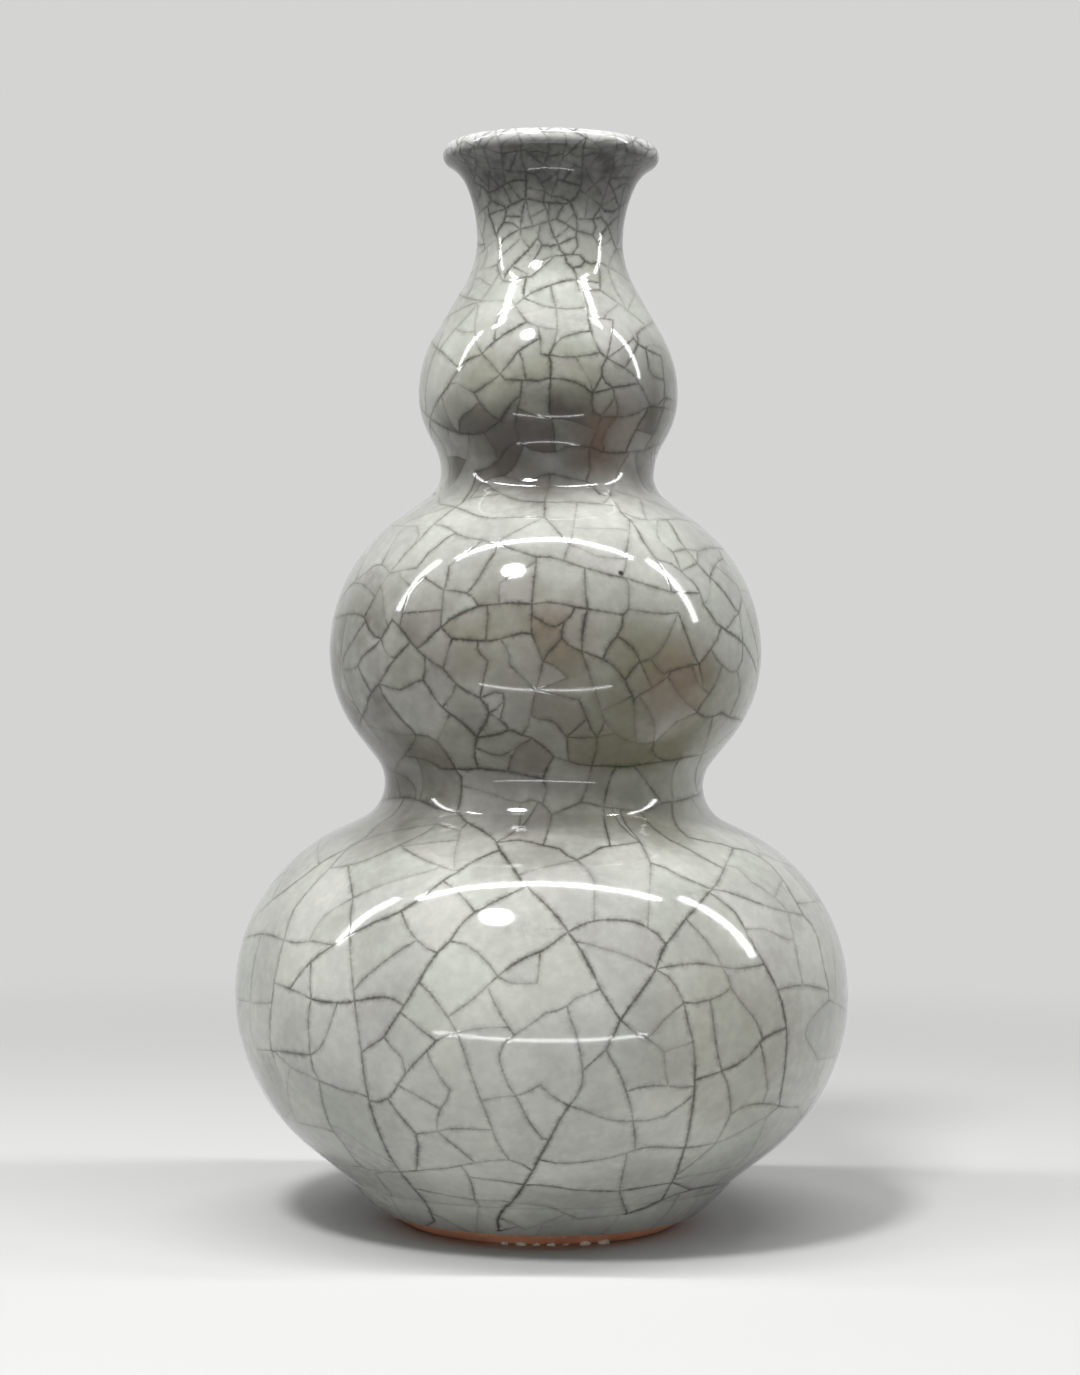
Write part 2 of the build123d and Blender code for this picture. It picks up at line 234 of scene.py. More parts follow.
MIDDLE_BULB_CRACKS = (
    medium(470, 498, 455, 507, 445, 515, 434, 524, 425, 533, 415, 544, 405, 554, 398, 563, 389, 573, 380, 586,
           370, 606, 364, 617),
    medium(434, 524, 447, 527, 457, 534, 468, 538, 483, 540, 500, 540),
    medium(455, 533, 445, 539, 437, 546, 428, 553, 422, 561, 416, 568),
    faint(417, 526, 419, 536, 413, 545),
    medium(352, 582, 360, 578, 366, 573, 373, 567, 382, 565, 389, 572),
    medium(343, 596, 348, 588, 353, 583, 361, 583, 368, 588, 374, 595),
    medium(335, 618, 345, 615, 357, 614, 364, 617),
    strong(364, 617, 368, 628, 375, 637, 381, 639),
    strong(381, 639, 386, 630, 392, 620, 397, 617, 402, 613),
    strong(392, 620, 398, 625, 404, 633, 410, 642, 417, 649, 425, 657),
    strong(400, 626, 403, 612, 406, 602, 409, 592, 415, 584, 424, 577),
    strong(410, 642, 403, 650, 395, 658, 389, 666, 384, 676, 379, 684, 372, 691, 368, 699, 366, 709,
           362, 717),
    strong(418, 650, 425, 643, 432, 635, 441, 627, 449, 620, 458, 615, 468, 610, 478, 606, 490, 605, 505, 603,
           520, 603, 533, 602, 548, 602, 562, 604, 575, 607, 588, 609, 600, 611, 612, 613, 623, 615),
    medium(449, 566, 447, 580, 444, 589, 443, 598, 442, 610, 441, 627),
    medium(441, 627, 447, 634, 452, 639),
    strong(452, 639, 465, 640, 478, 641, 490, 641, 502, 639, 512, 636, 522, 633, 532, 634),
    medium(452, 639, 449, 648, 446, 658, 443, 668),
    strong(487, 605, 488, 615, 487, 626, 486, 641),
    medium(478, 641, 477, 648, 481, 655, 488, 661, 486, 669),
    medium(501, 640, 506, 647, 509, 655, 510, 665),
    strong(537, 548, 536, 562, 534, 577, 533, 592, 532, 604, 532, 616),
    strong(532, 616, 540, 620, 547, 625, 556, 627, 564, 622, 571, 616, 575, 607),
    faint(532, 616, 531, 625, 532, 634, 536, 645, 534, 656),
    strong(536, 557, 550, 557, 563, 560, 573, 564, 585, 568, 597, 571, 610, 575, 622, 577, 632, 580, 645, 584,
           658, 588, 672, 592),
    medium(500, 545, 491, 558, 485, 567, 480, 576, 474, 585, 467, 593),
    medium(444, 590, 455, 591, 467, 593, 473, 598, 479, 606),
    faint(500, 583, 499, 593, 499, 603),
    medium(570, 541, 567, 550, 564, 560),
    faint(570, 545, 582, 549, 596, 556, 610, 558),
    medium(585, 568, 585, 582, 586, 596, 588, 609),
    strong(588, 609, 585, 618, 583, 630, 582, 640, 582, 651),
    medium(626, 552, 626, 566, 625, 577, 629, 584, 628, 594),
    medium(623, 615, 629, 609, 641, 611, 654, 613, 666, 614, 678, 613),
    strong(678, 613, 682, 622, 686, 633, 690, 643, 694, 655, 699, 664),
    medium(678, 613, 674, 623, 670, 633, 665, 643, 659, 652, 651, 659, 640, 662),
    strong(623, 615, 622, 626, 617, 636),
    strong(617, 636, 611, 643, 606, 651, 603, 659),
    strong(617, 636, 625, 641, 633, 648, 638, 656, 640, 662),
    strong(564, 622, 562, 630, 562, 638, 556, 645, 548, 653, 540, 661),
    strong(562, 638, 569, 645, 577, 649, 582, 651),
    medium(610, 496, 616, 504, 621, 512, 630, 520, 638, 531, 643, 541, 650, 551, 657, 560, 663, 568,
           670, 577),
    faint(621, 512, 640, 519, 660, 520, 678, 519, 692, 522),
    faint(657, 520, 657, 533, 660, 541, 667, 547, 673, 552),
    medium(668, 520, 674, 530, 679, 540, 686, 549, 692, 555, 697, 563),
    strong(697, 563, 703, 570, 710, 577, 718, 585, 725, 593, 731, 602, 736, 610, 739, 613),
    medium(673, 552, 686, 549, 697, 551, 708, 548, 718, 548),
    medium(710, 577, 713, 569, 718, 562, 723, 559),
    faint(723, 559, 730, 568, 735, 580, 739, 590),
    medium(659, 560, 672, 564, 681, 571, 687, 577, 694, 583),
    strong(694, 583, 700, 593, 704, 604, 710, 613, 717, 624),
    strong(717, 624, 726, 630, 735, 636, 743, 643, 749, 652),
    medium(739, 613, 734, 618, 730, 625, 727, 631),
    medium(739, 613, 741, 625, 743, 643),
    medium(738, 585, 742, 598, 746, 608, 750, 620, 754, 634, 757, 648),
    strong(381, 639, 374, 647, 366, 653, 360, 660, 358, 666, 361, 674, 365, 682, 371, 692),
    faint(381, 639, 384, 649, 390, 657, 395, 658),
    medium(358, 632, 353, 640, 348, 648, 344, 656, 342, 665, 344, 676, 348, 688, 354, 702),
    faint(358, 666, 350, 670, 343, 669),
    strong(379, 684, 388, 687, 400, 690, 408, 686, 416, 682, 423, 680),
    strong(379, 684, 383, 695, 390, 705, 397, 714, 404, 722, 411, 729, 418, 737),
    medium(425, 657, 433, 663, 443, 668),
    medium(426, 658, 425, 670, 423, 680),
    strong(423, 680, 430, 690, 436, 700, 442, 707, 450, 714, 459, 720, 468, 728, 477, 736),
    medium(442, 707, 447, 701, 452, 695, 458, 687),
    strong(443, 668, 449, 676, 456, 684, 464, 690, 472, 694, 480, 698),
    deep(480, 698, 486, 705, 489, 713, 486, 722, 481, 730, 477, 737),
    medium(489, 713, 497, 709, 504, 702, 503, 694, 494, 692, 480, 698),
    strong(477, 737, 475, 748, 475, 758, 478, 768),
    strong(478, 738, 488, 736, 500, 734, 508, 730, 510, 728),
    strong(500, 720, 507, 726, 514, 731, 522, 735, 532, 738),
    faint(489, 713, 495, 717, 500, 720),
    medium(477, 748, 490, 754, 500, 756, 510, 752, 522, 744, 532, 738),
    strong(455, 769, 466, 770, 478, 768, 492, 770, 506, 771, 520, 774, 532, 777, 543, 779),
    medium(418, 737, 411, 746, 405, 756, 398, 763, 394, 772),
    medium(405, 756, 416, 758, 426, 760, 434, 764, 441, 769, 455, 769),
    medium(418, 737, 428, 736, 437, 741, 444, 750, 450, 759, 455, 769),
    strong(455, 769, 461, 777, 462, 786, 461, 796, 459, 806, 457, 812),
    medium(394, 772, 403, 775, 411, 781, 416, 790, 415, 799),
    strong(384, 800, 397, 798, 410, 798, 421, 801, 432, 806, 444, 810, 457, 812, 465, 821),
    medium(396, 762, 395, 775, 398, 785, 400, 797),
    medium(536, 690, 533, 702, 531, 714, 528, 726, 522, 735),
    medium(531, 716, 540, 720, 548, 720, 556, 724, 561, 731, 567, 737),
    strong(532, 738, 540, 744, 548, 750, 554, 757, 549, 765, 545, 773, 543, 779),
    medium(518, 748, 511, 757, 508, 771),
    medium(512, 812, 520, 803, 530, 800, 540, 802, 547, 808, 552, 814),
    medium(540, 661, 551, 664, 560, 671, 567, 678),
    medium(582, 651, 585, 661, 589, 671, 592, 681),
    strong(603, 659, 612, 665, 618, 671, 625, 680),
    strong(640, 662, 632, 670, 625, 680),
    strong(625, 680, 629, 689, 634, 699),
    medium(634, 699, 643, 693, 652, 688, 661, 682, 668, 677, 671, 671),
    medium(651, 659, 657, 668, 664, 674, 671, 671, 681, 668, 692, 665, 699, 664),
    medium(699, 664, 706, 656, 711, 649, 717, 640, 721, 628),
    medium(711, 649, 716, 658, 722, 665, 729, 671, 737, 671, 742, 661, 743, 643),
    medium(722, 665, 719, 675, 715, 685, 709, 694, 702, 703, 697, 712),
    medium(737, 671, 740, 682, 739, 694, 734, 706),
    faint(692, 665, 697, 680, 703, 688, 709, 694),
    strong(697, 712, 705, 717, 713, 717, 721, 713, 729, 717, 738, 719),
    medium(713, 717, 710, 730, 706, 743, 702, 755, 697, 768),
    faint(634, 699, 635, 715, 635, 730, 637, 743),
    strong(579, 700, 583, 709, 587, 719, 591, 729, 597, 737, 602, 730, 605, 720, 608, 710),
    medium(567, 737, 580, 738, 597, 737),
    medium(597, 737, 597, 748, 594, 758, 592, 766),
    medium(554, 757, 568, 761, 580, 765, 592, 766),
    strong(592, 766, 604, 766, 616, 767, 628, 767, 640, 765, 652, 763, 664, 761, 676, 760, 688, 757,
           700, 755),
    faint(605, 722, 615, 733, 626, 740, 637, 743, 646, 744, 654, 742, 664, 734, 676, 722, 688, 716, 697, 712),
    faint(640, 698, 650, 712, 655, 727, 654, 742),
    faint(668, 677, 676, 690, 686, 703, 697, 712),
    medium(653, 743, 652, 750, 656, 757, 662, 761),
    medium(634, 766, 643, 778, 650, 787, 657, 796, 662, 803),
    medium(604, 807, 620, 809, 637, 811, 650, 808, 662, 803, 672, 802, 682, 800, 692, 797, 701, 793),
    medium(552, 814, 562, 810, 572, 806, 581, 802, 592, 804, 604, 807),
    faint(543, 779, 547, 790, 544, 802),
    faint(592, 766, 589, 778, 586, 790, 581, 802),
    faint(462, 786, 478, 790, 495, 795, 508, 800, 520, 803),
)
UPPER_BULB_CRACKS = (
    deep(549, 352, 551, 362, 551, 374, 550, 384, 549, 397, 549, 411),
    medium(533, 352, 541, 354, 549, 355),
    strong(549, 355, 562, 357, 576, 357, 589, 355, 600, 352),
    strong(600, 352, 607, 358, 616, 363, 625, 368, 633, 374, 642, 380),
    faint(583, 292, 587, 305, 588, 317, 591, 331, 594, 339, 600, 352),
    strong(551, 353, 555, 344, 561, 338, 570, 335, 581, 332, 591, 331),
    strong(607, 358, 602, 367, 602, 376, 606, 383, 613, 388),
    strong(550, 378, 563, 379, 575, 382, 585, 387, 593, 393),
    strong(550, 379, 538, 381, 526, 380, 514, 380, 505, 379, 500, 374),
    strong(500, 374, 507, 366, 514, 357, 520, 349, 527, 340),
    medium(500, 374, 494, 367, 488, 360, 482, 354),
    strong(500, 374, 492, 381, 483, 387, 474, 393),
    strong(522, 380, 521, 392, 519, 405, 516, 414),
    medium(520, 352, 523, 362, 525, 380),
    strong(482, 354, 488, 347, 495, 341, 503, 335, 512, 330, 520, 325, 527, 322),
    medium(527, 322, 536, 326, 546, 328, 557, 329),
    faint(538, 327, 540, 338, 541, 354),
    medium(557, 329, 557, 318, 556, 308, 553, 297, 551, 286),
    medium(532, 303, 543, 306, 556, 308, 568, 309, 587, 307),
    strong(524, 298, 531, 293, 541, 289, 551, 285, 560, 282, 570, 280, 577, 280),
    strong(530, 266, 526, 277, 524, 287, 524, 298),
    medium(503, 281, 515, 281, 526, 277, 537, 275),
    strong(577, 280, 579, 290, 583, 292),
    medium(579, 290, 590, 290, 600, 290),
    medium(599, 262, 600, 276, 600, 290),
    medium(588, 317, 600, 318, 613, 320),
    faint(524, 298, 515, 305, 505, 309, 497, 317, 495, 328, 495, 341),
    medium(634, 338, 640, 331, 646, 326, 653, 321),
    strong(638, 344, 644, 348, 652, 352, 661, 356),
    medium(645, 360, 649, 370, 654, 377, 664, 380),
    strong(661, 356, 663, 368, 664, 382, 665, 397),
    medium(432, 342, 441, 351, 448, 358),
    medium(462, 296, 472, 299, 481, 301, 490, 300),
    medium(442, 322, 449, 316, 457, 311, 467, 306, 481, 301),
    strong(436, 404, 441, 396, 447, 388, 453, 378, 458, 369, 466, 361, 474, 357, 482, 354),
    medium(474, 393, 479, 402, 486, 410, 494, 417, 500, 421),
    medium(480, 404, 472, 409, 464, 414, 459, 421, 459, 433),
    strong(500, 421, 506, 411, 512, 403, 520, 396),
    strong(500, 421, 492, 427, 484, 433),
    strong(484, 433, 472, 435, 459, 433, 449, 430, 438, 424),
    faint(484, 433, 489, 442, 495, 450, 498, 460),
    faint(474, 393, 464, 388, 456, 383, 450, 384),
    medium(593, 393, 592, 403, 594, 412, 602, 416),
    medium(602, 416, 612, 417, 625, 417, 640, 412, 650, 406, 664, 408),
    medium(633, 374, 640, 385, 646, 396, 650, 406),
    medium(613, 388, 615, 398, 618, 408, 617, 417),
    strong(648, 409, 642, 419, 636, 430, 630, 442, 626, 452),
    medium(660, 420, 655, 430, 649, 441, 644, 451),
    medium(618, 453, 630, 452, 642, 451, 653, 447),
    medium(549, 411, 553, 423, 555, 437, 556, 452, 562, 462),
    medium(556, 452, 566, 447, 577, 446, 590, 447, 604, 452, 618, 453),
    faint(516, 414, 515, 428, 519, 441, 530, 450, 543, 453, 556, 452),
    faint(617, 417, 607, 430, 603, 441, 604, 452),
    medium(519, 441, 508, 447, 498, 460, 487, 468, 475, 471),
    medium(505, 476, 512, 470, 517, 462, 519, 452),
    medium(586, 481, 590, 470, 589, 459, 590, 447),
    medium(531, 482, 540, 476, 553, 474, 566, 477, 578, 480, 586, 481),
    medium(586, 481, 593, 487, 600, 494, 610, 497),
    faint(531, 482, 519, 480, 505, 476, 492, 478, 480, 484, 468, 494),
    medium(543, 494, 545, 505, 544, 517),
    medium(495, 490, 509, 497, 525, 501, 543, 502, 560, 502, 577, 502, 590, 503, 603, 504, 618, 506),
    medium(440, 504, 455, 507, 466, 511, 478, 516, 490, 518),
)
NECK_AND_LIP_CRACKS = (
    strong(474, 182, 484, 188, 489, 193, 491, 200, 488, 206),
    strong(489, 193, 497, 189, 505, 184, 515, 180, 526, 178),
    strong(526, 172, 526, 188, 525, 198),
    medium(525, 198, 533, 200, 543, 202),
    strong(525, 198, 516, 203, 506, 206, 498, 204, 491, 200),
    strong(506, 206, 506, 214, 504, 222, 499, 229, 496, 235),
    medium(504, 222, 512, 223, 520, 229),
    strong(524, 199, 522, 212, 521, 222, 520, 229),
    strong(488, 206, 489, 215, 493, 225, 496, 235),
    strong(520, 229, 511, 234, 503, 240, 499, 248, 501, 256),
    strong(520, 229, 530, 227, 540, 224, 549, 221),
    medium(520, 229, 521, 238, 526, 244, 530, 248),
    strong(538, 237, 533, 244, 527, 251, 520, 258, 512, 266, 505, 275, 503, 281),
    strong(540, 224, 539, 232, 538, 238, 542, 245),
    strong(542, 245, 551, 246, 559, 244),
    strong(549, 203, 548, 212, 549, 221, 552, 231, 558, 243),
    strong(543, 202, 549, 203, 557, 203, 564, 204, 570, 202),
    strong(564, 204, 560, 211, 557, 219, 549, 221),
    strong(557, 219, 564, 222, 570, 227, 577, 231),
    strong(570, 202, 574, 211, 577, 219, 577, 231),
    strong(577, 231, 576, 237, 568, 240, 559, 244),
    strong(576, 237, 578, 246, 573, 254, 565, 255, 560, 250, 559, 244),
    strong(577, 231, 585, 233, 593, 235),
    strong(593, 235, 596, 227, 593, 219),
    medium(577, 219, 585, 219, 593, 219, 601, 217),
    medium(593, 219, 598, 212, 601, 206),
    strong(573, 254, 580, 255, 585, 261, 592, 264, 599, 262),
    strong(565, 255, 567, 263, 573, 268, 581, 266, 585, 261),
    medium(573, 268, 576, 274, 577, 280),
    medium(542, 259, 554, 256, 565, 255),
    medium(535, 174, 541, 183, 545, 191, 551, 196, 560, 197, 570, 202),
    strong(601, 206, 605, 211, 613, 212, 620, 207),
    strong(571, 201, 576, 197, 580, 190, 582, 180),
    medium(593, 235, 598, 243, 600, 252, 599, 262),
    medium(501, 256, 497, 265, 499, 274, 503, 281),
    medium(488, 206, 480, 212, 476, 222),
    medium(601, 217, 608, 226, 612, 238),
    medium(475, 141, 475, 153, 476, 166, 474, 182),
    medium(451, 147, 453, 154, 459, 160, 464, 170),
    medium(501, 145, 502, 156, 503, 170, 505, 184),
    medium(522, 143, 521, 158, 526, 172),
    strong(586, 135, 584, 145, 583, 156, 582, 168, 582, 180),
    faint(586, 135, 593, 141, 600, 148, 604, 158),
    faint(548, 139, 549, 150, 545, 163, 535, 174),
    faint(566, 137, 566, 148, 562, 160, 560, 172, 551, 196),
    medium(611, 150, 614, 162, 612, 174, 607, 188, 601, 206),
    faint(634, 148, 635, 158, 632, 170),
    faint(476, 166, 490, 168, 503, 170, 515, 172, 526, 172, 535, 174),
    faint(562, 160, 572, 164, 582, 168, 597, 170, 612, 172),
)


@dataclass(frozen=True)
class Stretch:
    """One arc or straight of the vase's outline: its start, its lean there, its turn and its length."""

    radius: float
    height: float
    lean: float
    turn: float
    length: float

    @staticmethod
    def between(start: Vector, end: Vector, lean: float, end_lean: float) -> "Stretch":
        """The stretch that runs from one point to another while its lean changes.

        Args:
            start: Radius and height where it begins.
            end: Radius and height where it ends.
            lean: Lean from upright at its start, outward positive.
            end_lean: Lean at its end.

        Returns:
            The stretch.
        """
        turn = end_lean - lean
        chord = (end - start).length
        bend = turn / 2 / math.sin(turn / 2) if abs(turn) > STRAIGHT_TURN else 1.0
        return Stretch(start.x, start.y, lean, turn, chord * bend)

    def at(self, distance: float) -> tuple[float, float, float]:
        """Radius, height and lean at a distance along the stretch."""
        lean = self.lean + self.turn * distance / self.length
        if abs(self.turn) < STRAIGHT_TURN:
            return (self.radius + distance * math.sin(lean), self.height + distance * math.cos(lean), lean)
        bend = self.length / self.turn
        radius = self.radius + bend * (math.cos(self.lean) - math.cos(lean))
        return (radius, self.height + bend * (math.sin(lean) - math.sin(self.lean)), lean)

    def inset(self, depth: float) -> "Stretch":
        """The parallel stretch at a depth inside this one."""
        radius = self.radius - depth * math.cos(self.lean)
        height = self.height + depth * math.sin(self.lean)
        return Stretch(radius, height, self.lean, self.turn, self.length + self.turn * depth)

    def after(self, distance: float) -> "Stretch":
        """What is left of the stretch past a distance."""
        radius, height, lean = self.at(distance)
        share = 1 - distance / self.length
        return Stretch(radius, height, lean, self.turn * share, self.length * share)


@dataclass
class Outline:
    """The vase's half outline, worked out from the frame's luted joints and the shares of its arcs."""

    outer_coat: float = 0.8 * MM
    wall: float = 5.0 * MM
    inner_coat: float = 0.8 * MM
    joint_rise: float = 1.3 * MM
    flare_reach_share: float = 0.32
    flare_drop: float = 7.0 * MM
    foot_radius: float = 30.8 * MM
    foot_bulge: float = 0.8 * MM
    glaze_line: float = 3.4 * MM
    bowl_straight: float = 0.38
    halvings: int = 40
    trials: int = 400
    spans: tuple[tuple[float, float], ...] = (
        (0.82, 0.16), (0.22, 0.34), (0.84, 0.28), (0.42, 0.20), (0.55, 0.50),
    )
    seams: tuple[str, ...] = (
        "lower_belly_slip_seam", "lower_waist_slip_seam", "middle_belly_slip_seam", "upper_waist_slip_seam",
        "upper_belly_slip_seam", "neck_slip_seam",
    )

    def __post_init__(self) -> None:
        """Read the stations of the outline from the frame."""
        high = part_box("foot_slip_seam")[1]
        self.crease = Vector((high.x + self.outer_coat, high.z))
        self.stations = [self.station(seam) for seam in self.seams]
        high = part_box("mouth_flare")[1]
        self.top = high.z + self.outer_coat
        self.lip = Vector((high.x + self.outer_coat, self.top - self.wall / 2))
        neck = self.stations[-1]
        reach = (self.lip.x - neck.x) * self.flare_reach_share
        self.flare = Vector((neck.x + reach, self.lip.y - self.flare_drop))

    def station(self, seam: str) -> Vector:
        """Radius and height of the glazed outside at a luted joint."""
        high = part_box(seam)[1]
        return Vector((high.x + self.outer_coat, high.z - self.joint_rise))

    @staticmethod
    def lean_between(low: Vector, high: Vector, straight: float) -> float:
        """The steepest lean of a stretch that turns in arcs between two stations."""
        return (2 - straight) * math.atan2(high.x - low.x, high.y - low.y)

    def span(self, low: Vector, high: Vector, bend: float, straight: float) -> list[Stretch]:
        """The arc, straight and arc between two stations where the wall stands upright.

        Args:
            low: The lower station.
            high: The upper station.
            bend: Share of the turning that the lower arc has.
            straight: Share of the stretch that runs straight.

        Returns:
            The three stretches, upward.
        """
        lean = self.lean_between(low, high, straight)
        turn = high.y - low.y - (high.x - low.x) / math.tan(lean)
        along = Vector((math.sin(lean), math.cos(lean)))
        upright = Vector((0, 1))
        first = low + (upright + along) * turn * bend
        last = high - (upright + along) * turn * (1 - bend)
        return [
            Stretch.between(low, first, 0, lean),
            Stretch.between(first, last, lean, lean),
            Stretch.between(last, high, lean, 0),
        ]

    def bowl(self) -> list[Stretch]:
        """The bottom bowl: straight up from the crease, then an arc to the belly."""
        lean = self.lean_between(self.crease, self.stations[0], self.bowl_straight)
        arc = self.span(self.crease, self.stations[0], 0, self.bowl_straight)[2]
        bend = Vector((arc.radius, arc.height))
        return [Stretch.between(self.crease, bend, lean, lean), arc]

    def mouth(self) -> list[Stretch]:
        """The flare up from the neck and the cove under the lip."""
        neck = self.stations[-1]
        lean = self.lean_between(neck, self.flare, 0)
        normal = Vector((math.cos(lean), -math.sin(lean)))
        middle = self.lip - Vector((self.wall / 2, 0))
        gap = self.flare - middle
        cove = (gap.dot(gap) - self.wall**2 / 4) / (self.wall - 2 * gap.dot(normal))
        centre = self.flare + normal * cove
        toward = (middle - centre).normalized()
        end_lean = math.atan2(toward.y, -toward.x)
        return [
            Stretch.between(neck, self.flare, 0, lean),
            Stretch.between(self.flare, centre + toward * cove, lean, end_lean),
        ]

    def body(self) -> list[Stretch]:
        """Every stretch from the crease to the start of the lip."""
        chain = self.bowl()
        for (low, high), (bend, straight) in zip(zip(self.stations, self.stations[1:]), self.spans):
            chain += self.span(low, high, bend, straight)
        return chain + self.mouth()

    def foot_wall(self, proud: float) -> Stretch:
        """The foot's bulging outer wall, moved out by the glaze on it."""
        bottom = Vector((self.foot_radius + proud, 0))
        top = Vector((self.crease.x - self.outer_coat + proud, self.crease.y))
        chord = top - bottom
        half = math.atan(2 * self.foot_bulge / chord.length) * 2
        lean = math.atan2(chord.x, chord.y)
        return Stretch.between(bottom, top, lean + half, lean - half)

    def glaze_start(self) -> float:
        """The distance up the bare foot wall where the glaze begins."""
        wall = self.foot_wall(0)
        low, high = 0.0, wall.length
        for _ in range(self.halvings):
            middle = (low + high) / 2
            low, high = (middle, high) if wall.at(middle)[1] < self.glaze_line else (low, middle)
        return low

    def lip_round(self) -> Stretch:
        """The half circle over the lip, from its outside to its inside."""
        cove = self.mouth()[-1]
        radius, height, lean = cove.at(cove.length)
        return Stretch(radius, height, lean, -math.pi, math.pi * self.wall / 2)

    def outside(self) -> list[Stretch]:
        """The glazed outside, from the rolled edge of the glaze on the foot to the inside of the lip."""
        start = self.glaze_start()
        radius, height, lean = self.foot_wall(0).at(start)
        roll = Stretch(radius, height, lean + math.pi / 2, -math.pi / 2, self.outer_coat * math.pi / 2)
        end = roll.at(roll.length)
        proud = self.foot_wall(self.outer_coat)
        tries = [proud.length * index / self.trials for index in range(self.trials)]
        wall = proud.after(min(tries, key=lambda distance: abs(proud.at(distance)[1] - end[1])))
        joined = Stretch.between(Vector(end[:2]), self.crease, wall.lean, wall.lean + wall.turn)
        return [roll, joined, *self.body(), self.lip_round()]

    def inside(self, depth: float) -> list[Stretch]:
        """The wall at a depth, from the crease to the start of the lip."""
        return [stretch.inset(depth) for stretch in self.body()]


@dataclass
class Chart:
    """The glazed outside rolled out flat, true to angle: turn about the axis against height on the chart."""

    outline: Outline
    step: float = 0.25 * MM
    least_steps: int = 4

    def __post_init__(self) -> None:
        """Sample the outline evenly and add up the chart's height."""
        self.places: list[float] = []
        self.samples: list[Sample] = []
        place = 0.0
        last: Sample | None = None
        for stretch in self.outline.outside():
            count = max(self.least_steps, math.ceil(stretch.length / self.step))
            for index in range(count + 1):
                now = stretch.at(stretch.length * index / count)
                if last:
                    run = math.hypot(now[0] - last[0], now[1] - last[1])
                    place += 2 * run / (now[0] + last[0])
                    if run < SAME_PLACE:
                        self.samples[-1] = (now[0], now[1], (now[2] + last[2]) / 2)
                        last = now
                        continue
                self.places.append(place)
                self.samples.append(now)
                last = now
        self.end = self.places[-1]
        self.heights = [sample[1] for sample in self.samples]
        self.crest = max(range(len(self.heights)), key=lambda i: self.heights[i])
        self.foot = min(range(self.crest), key=lambda i: self.heights[i])
        self.climb = self.heights[self.foot:self.crest + 1]

    @staticmethod
    def mixed(low: Sample, high: Sample, share: float) -> Sample:
        """A sample between two samples."""
        return tuple(a + (b - a) * share for a, b in zip(low, high))

    def at(self, place: float) -> Sample:
        """Radius, height and lean at a height of the chart."""
        index = min(max(bisect.bisect_right(self.places, place), 1), len(self.places) - 1)
        low, high = self.places[index - 1], self.places[index]
        share = min(max((place - low) / max(high - low, TINY), 0.0), 1.0)
        return self.mixed(self.samples[index - 1], self.samples[index], share)

    def radius(self, place: float) -> float:
        """Radius at a height of the chart."""
        return self.at(place)[0]

    def index_of(self, height: float) -> tuple[int, float]:
        """The sample below a real height and the share of the way to the next."""
        index = min(max(bisect.bisect_right(self.climb, height), 1), len(self.climb) - 1)
        low, high = self.climb[index - 1], self.climb[index]
        share = min(max((height - low) / max(high - low, TINY), 0.0), 1.0)
        return self.foot + index - 1, share

    def radius_at_height(self, height: float) -> float:
        """Outer radius at a real height."""
        index, share = self.index_of(height)
        return self.samples[index][0] + (self.samples[index + 1][0] - self.samples[index][0]) * share

    def place_at_height(self, height: float) -> float:
        """Height on the chart at a real height."""
        index, share = self.index_of(height)
        return self.places[index] + (self.places[index + 1] - self.places[index]) * share

    def point(self, turn: float, place: float) -> tuple[Vector, Vector]:
        """The point in space at a place of the chart, and the outward normal there."""
        radius, height, lean = self.at(place)
        around = Vector((math.sin(turn), -math.cos(turn), 0))
        normal = around * math.cos(lean) - Vector((0, 0, math.sin(lean)))
        return around * radius + Vector((0, 0, height)), normal


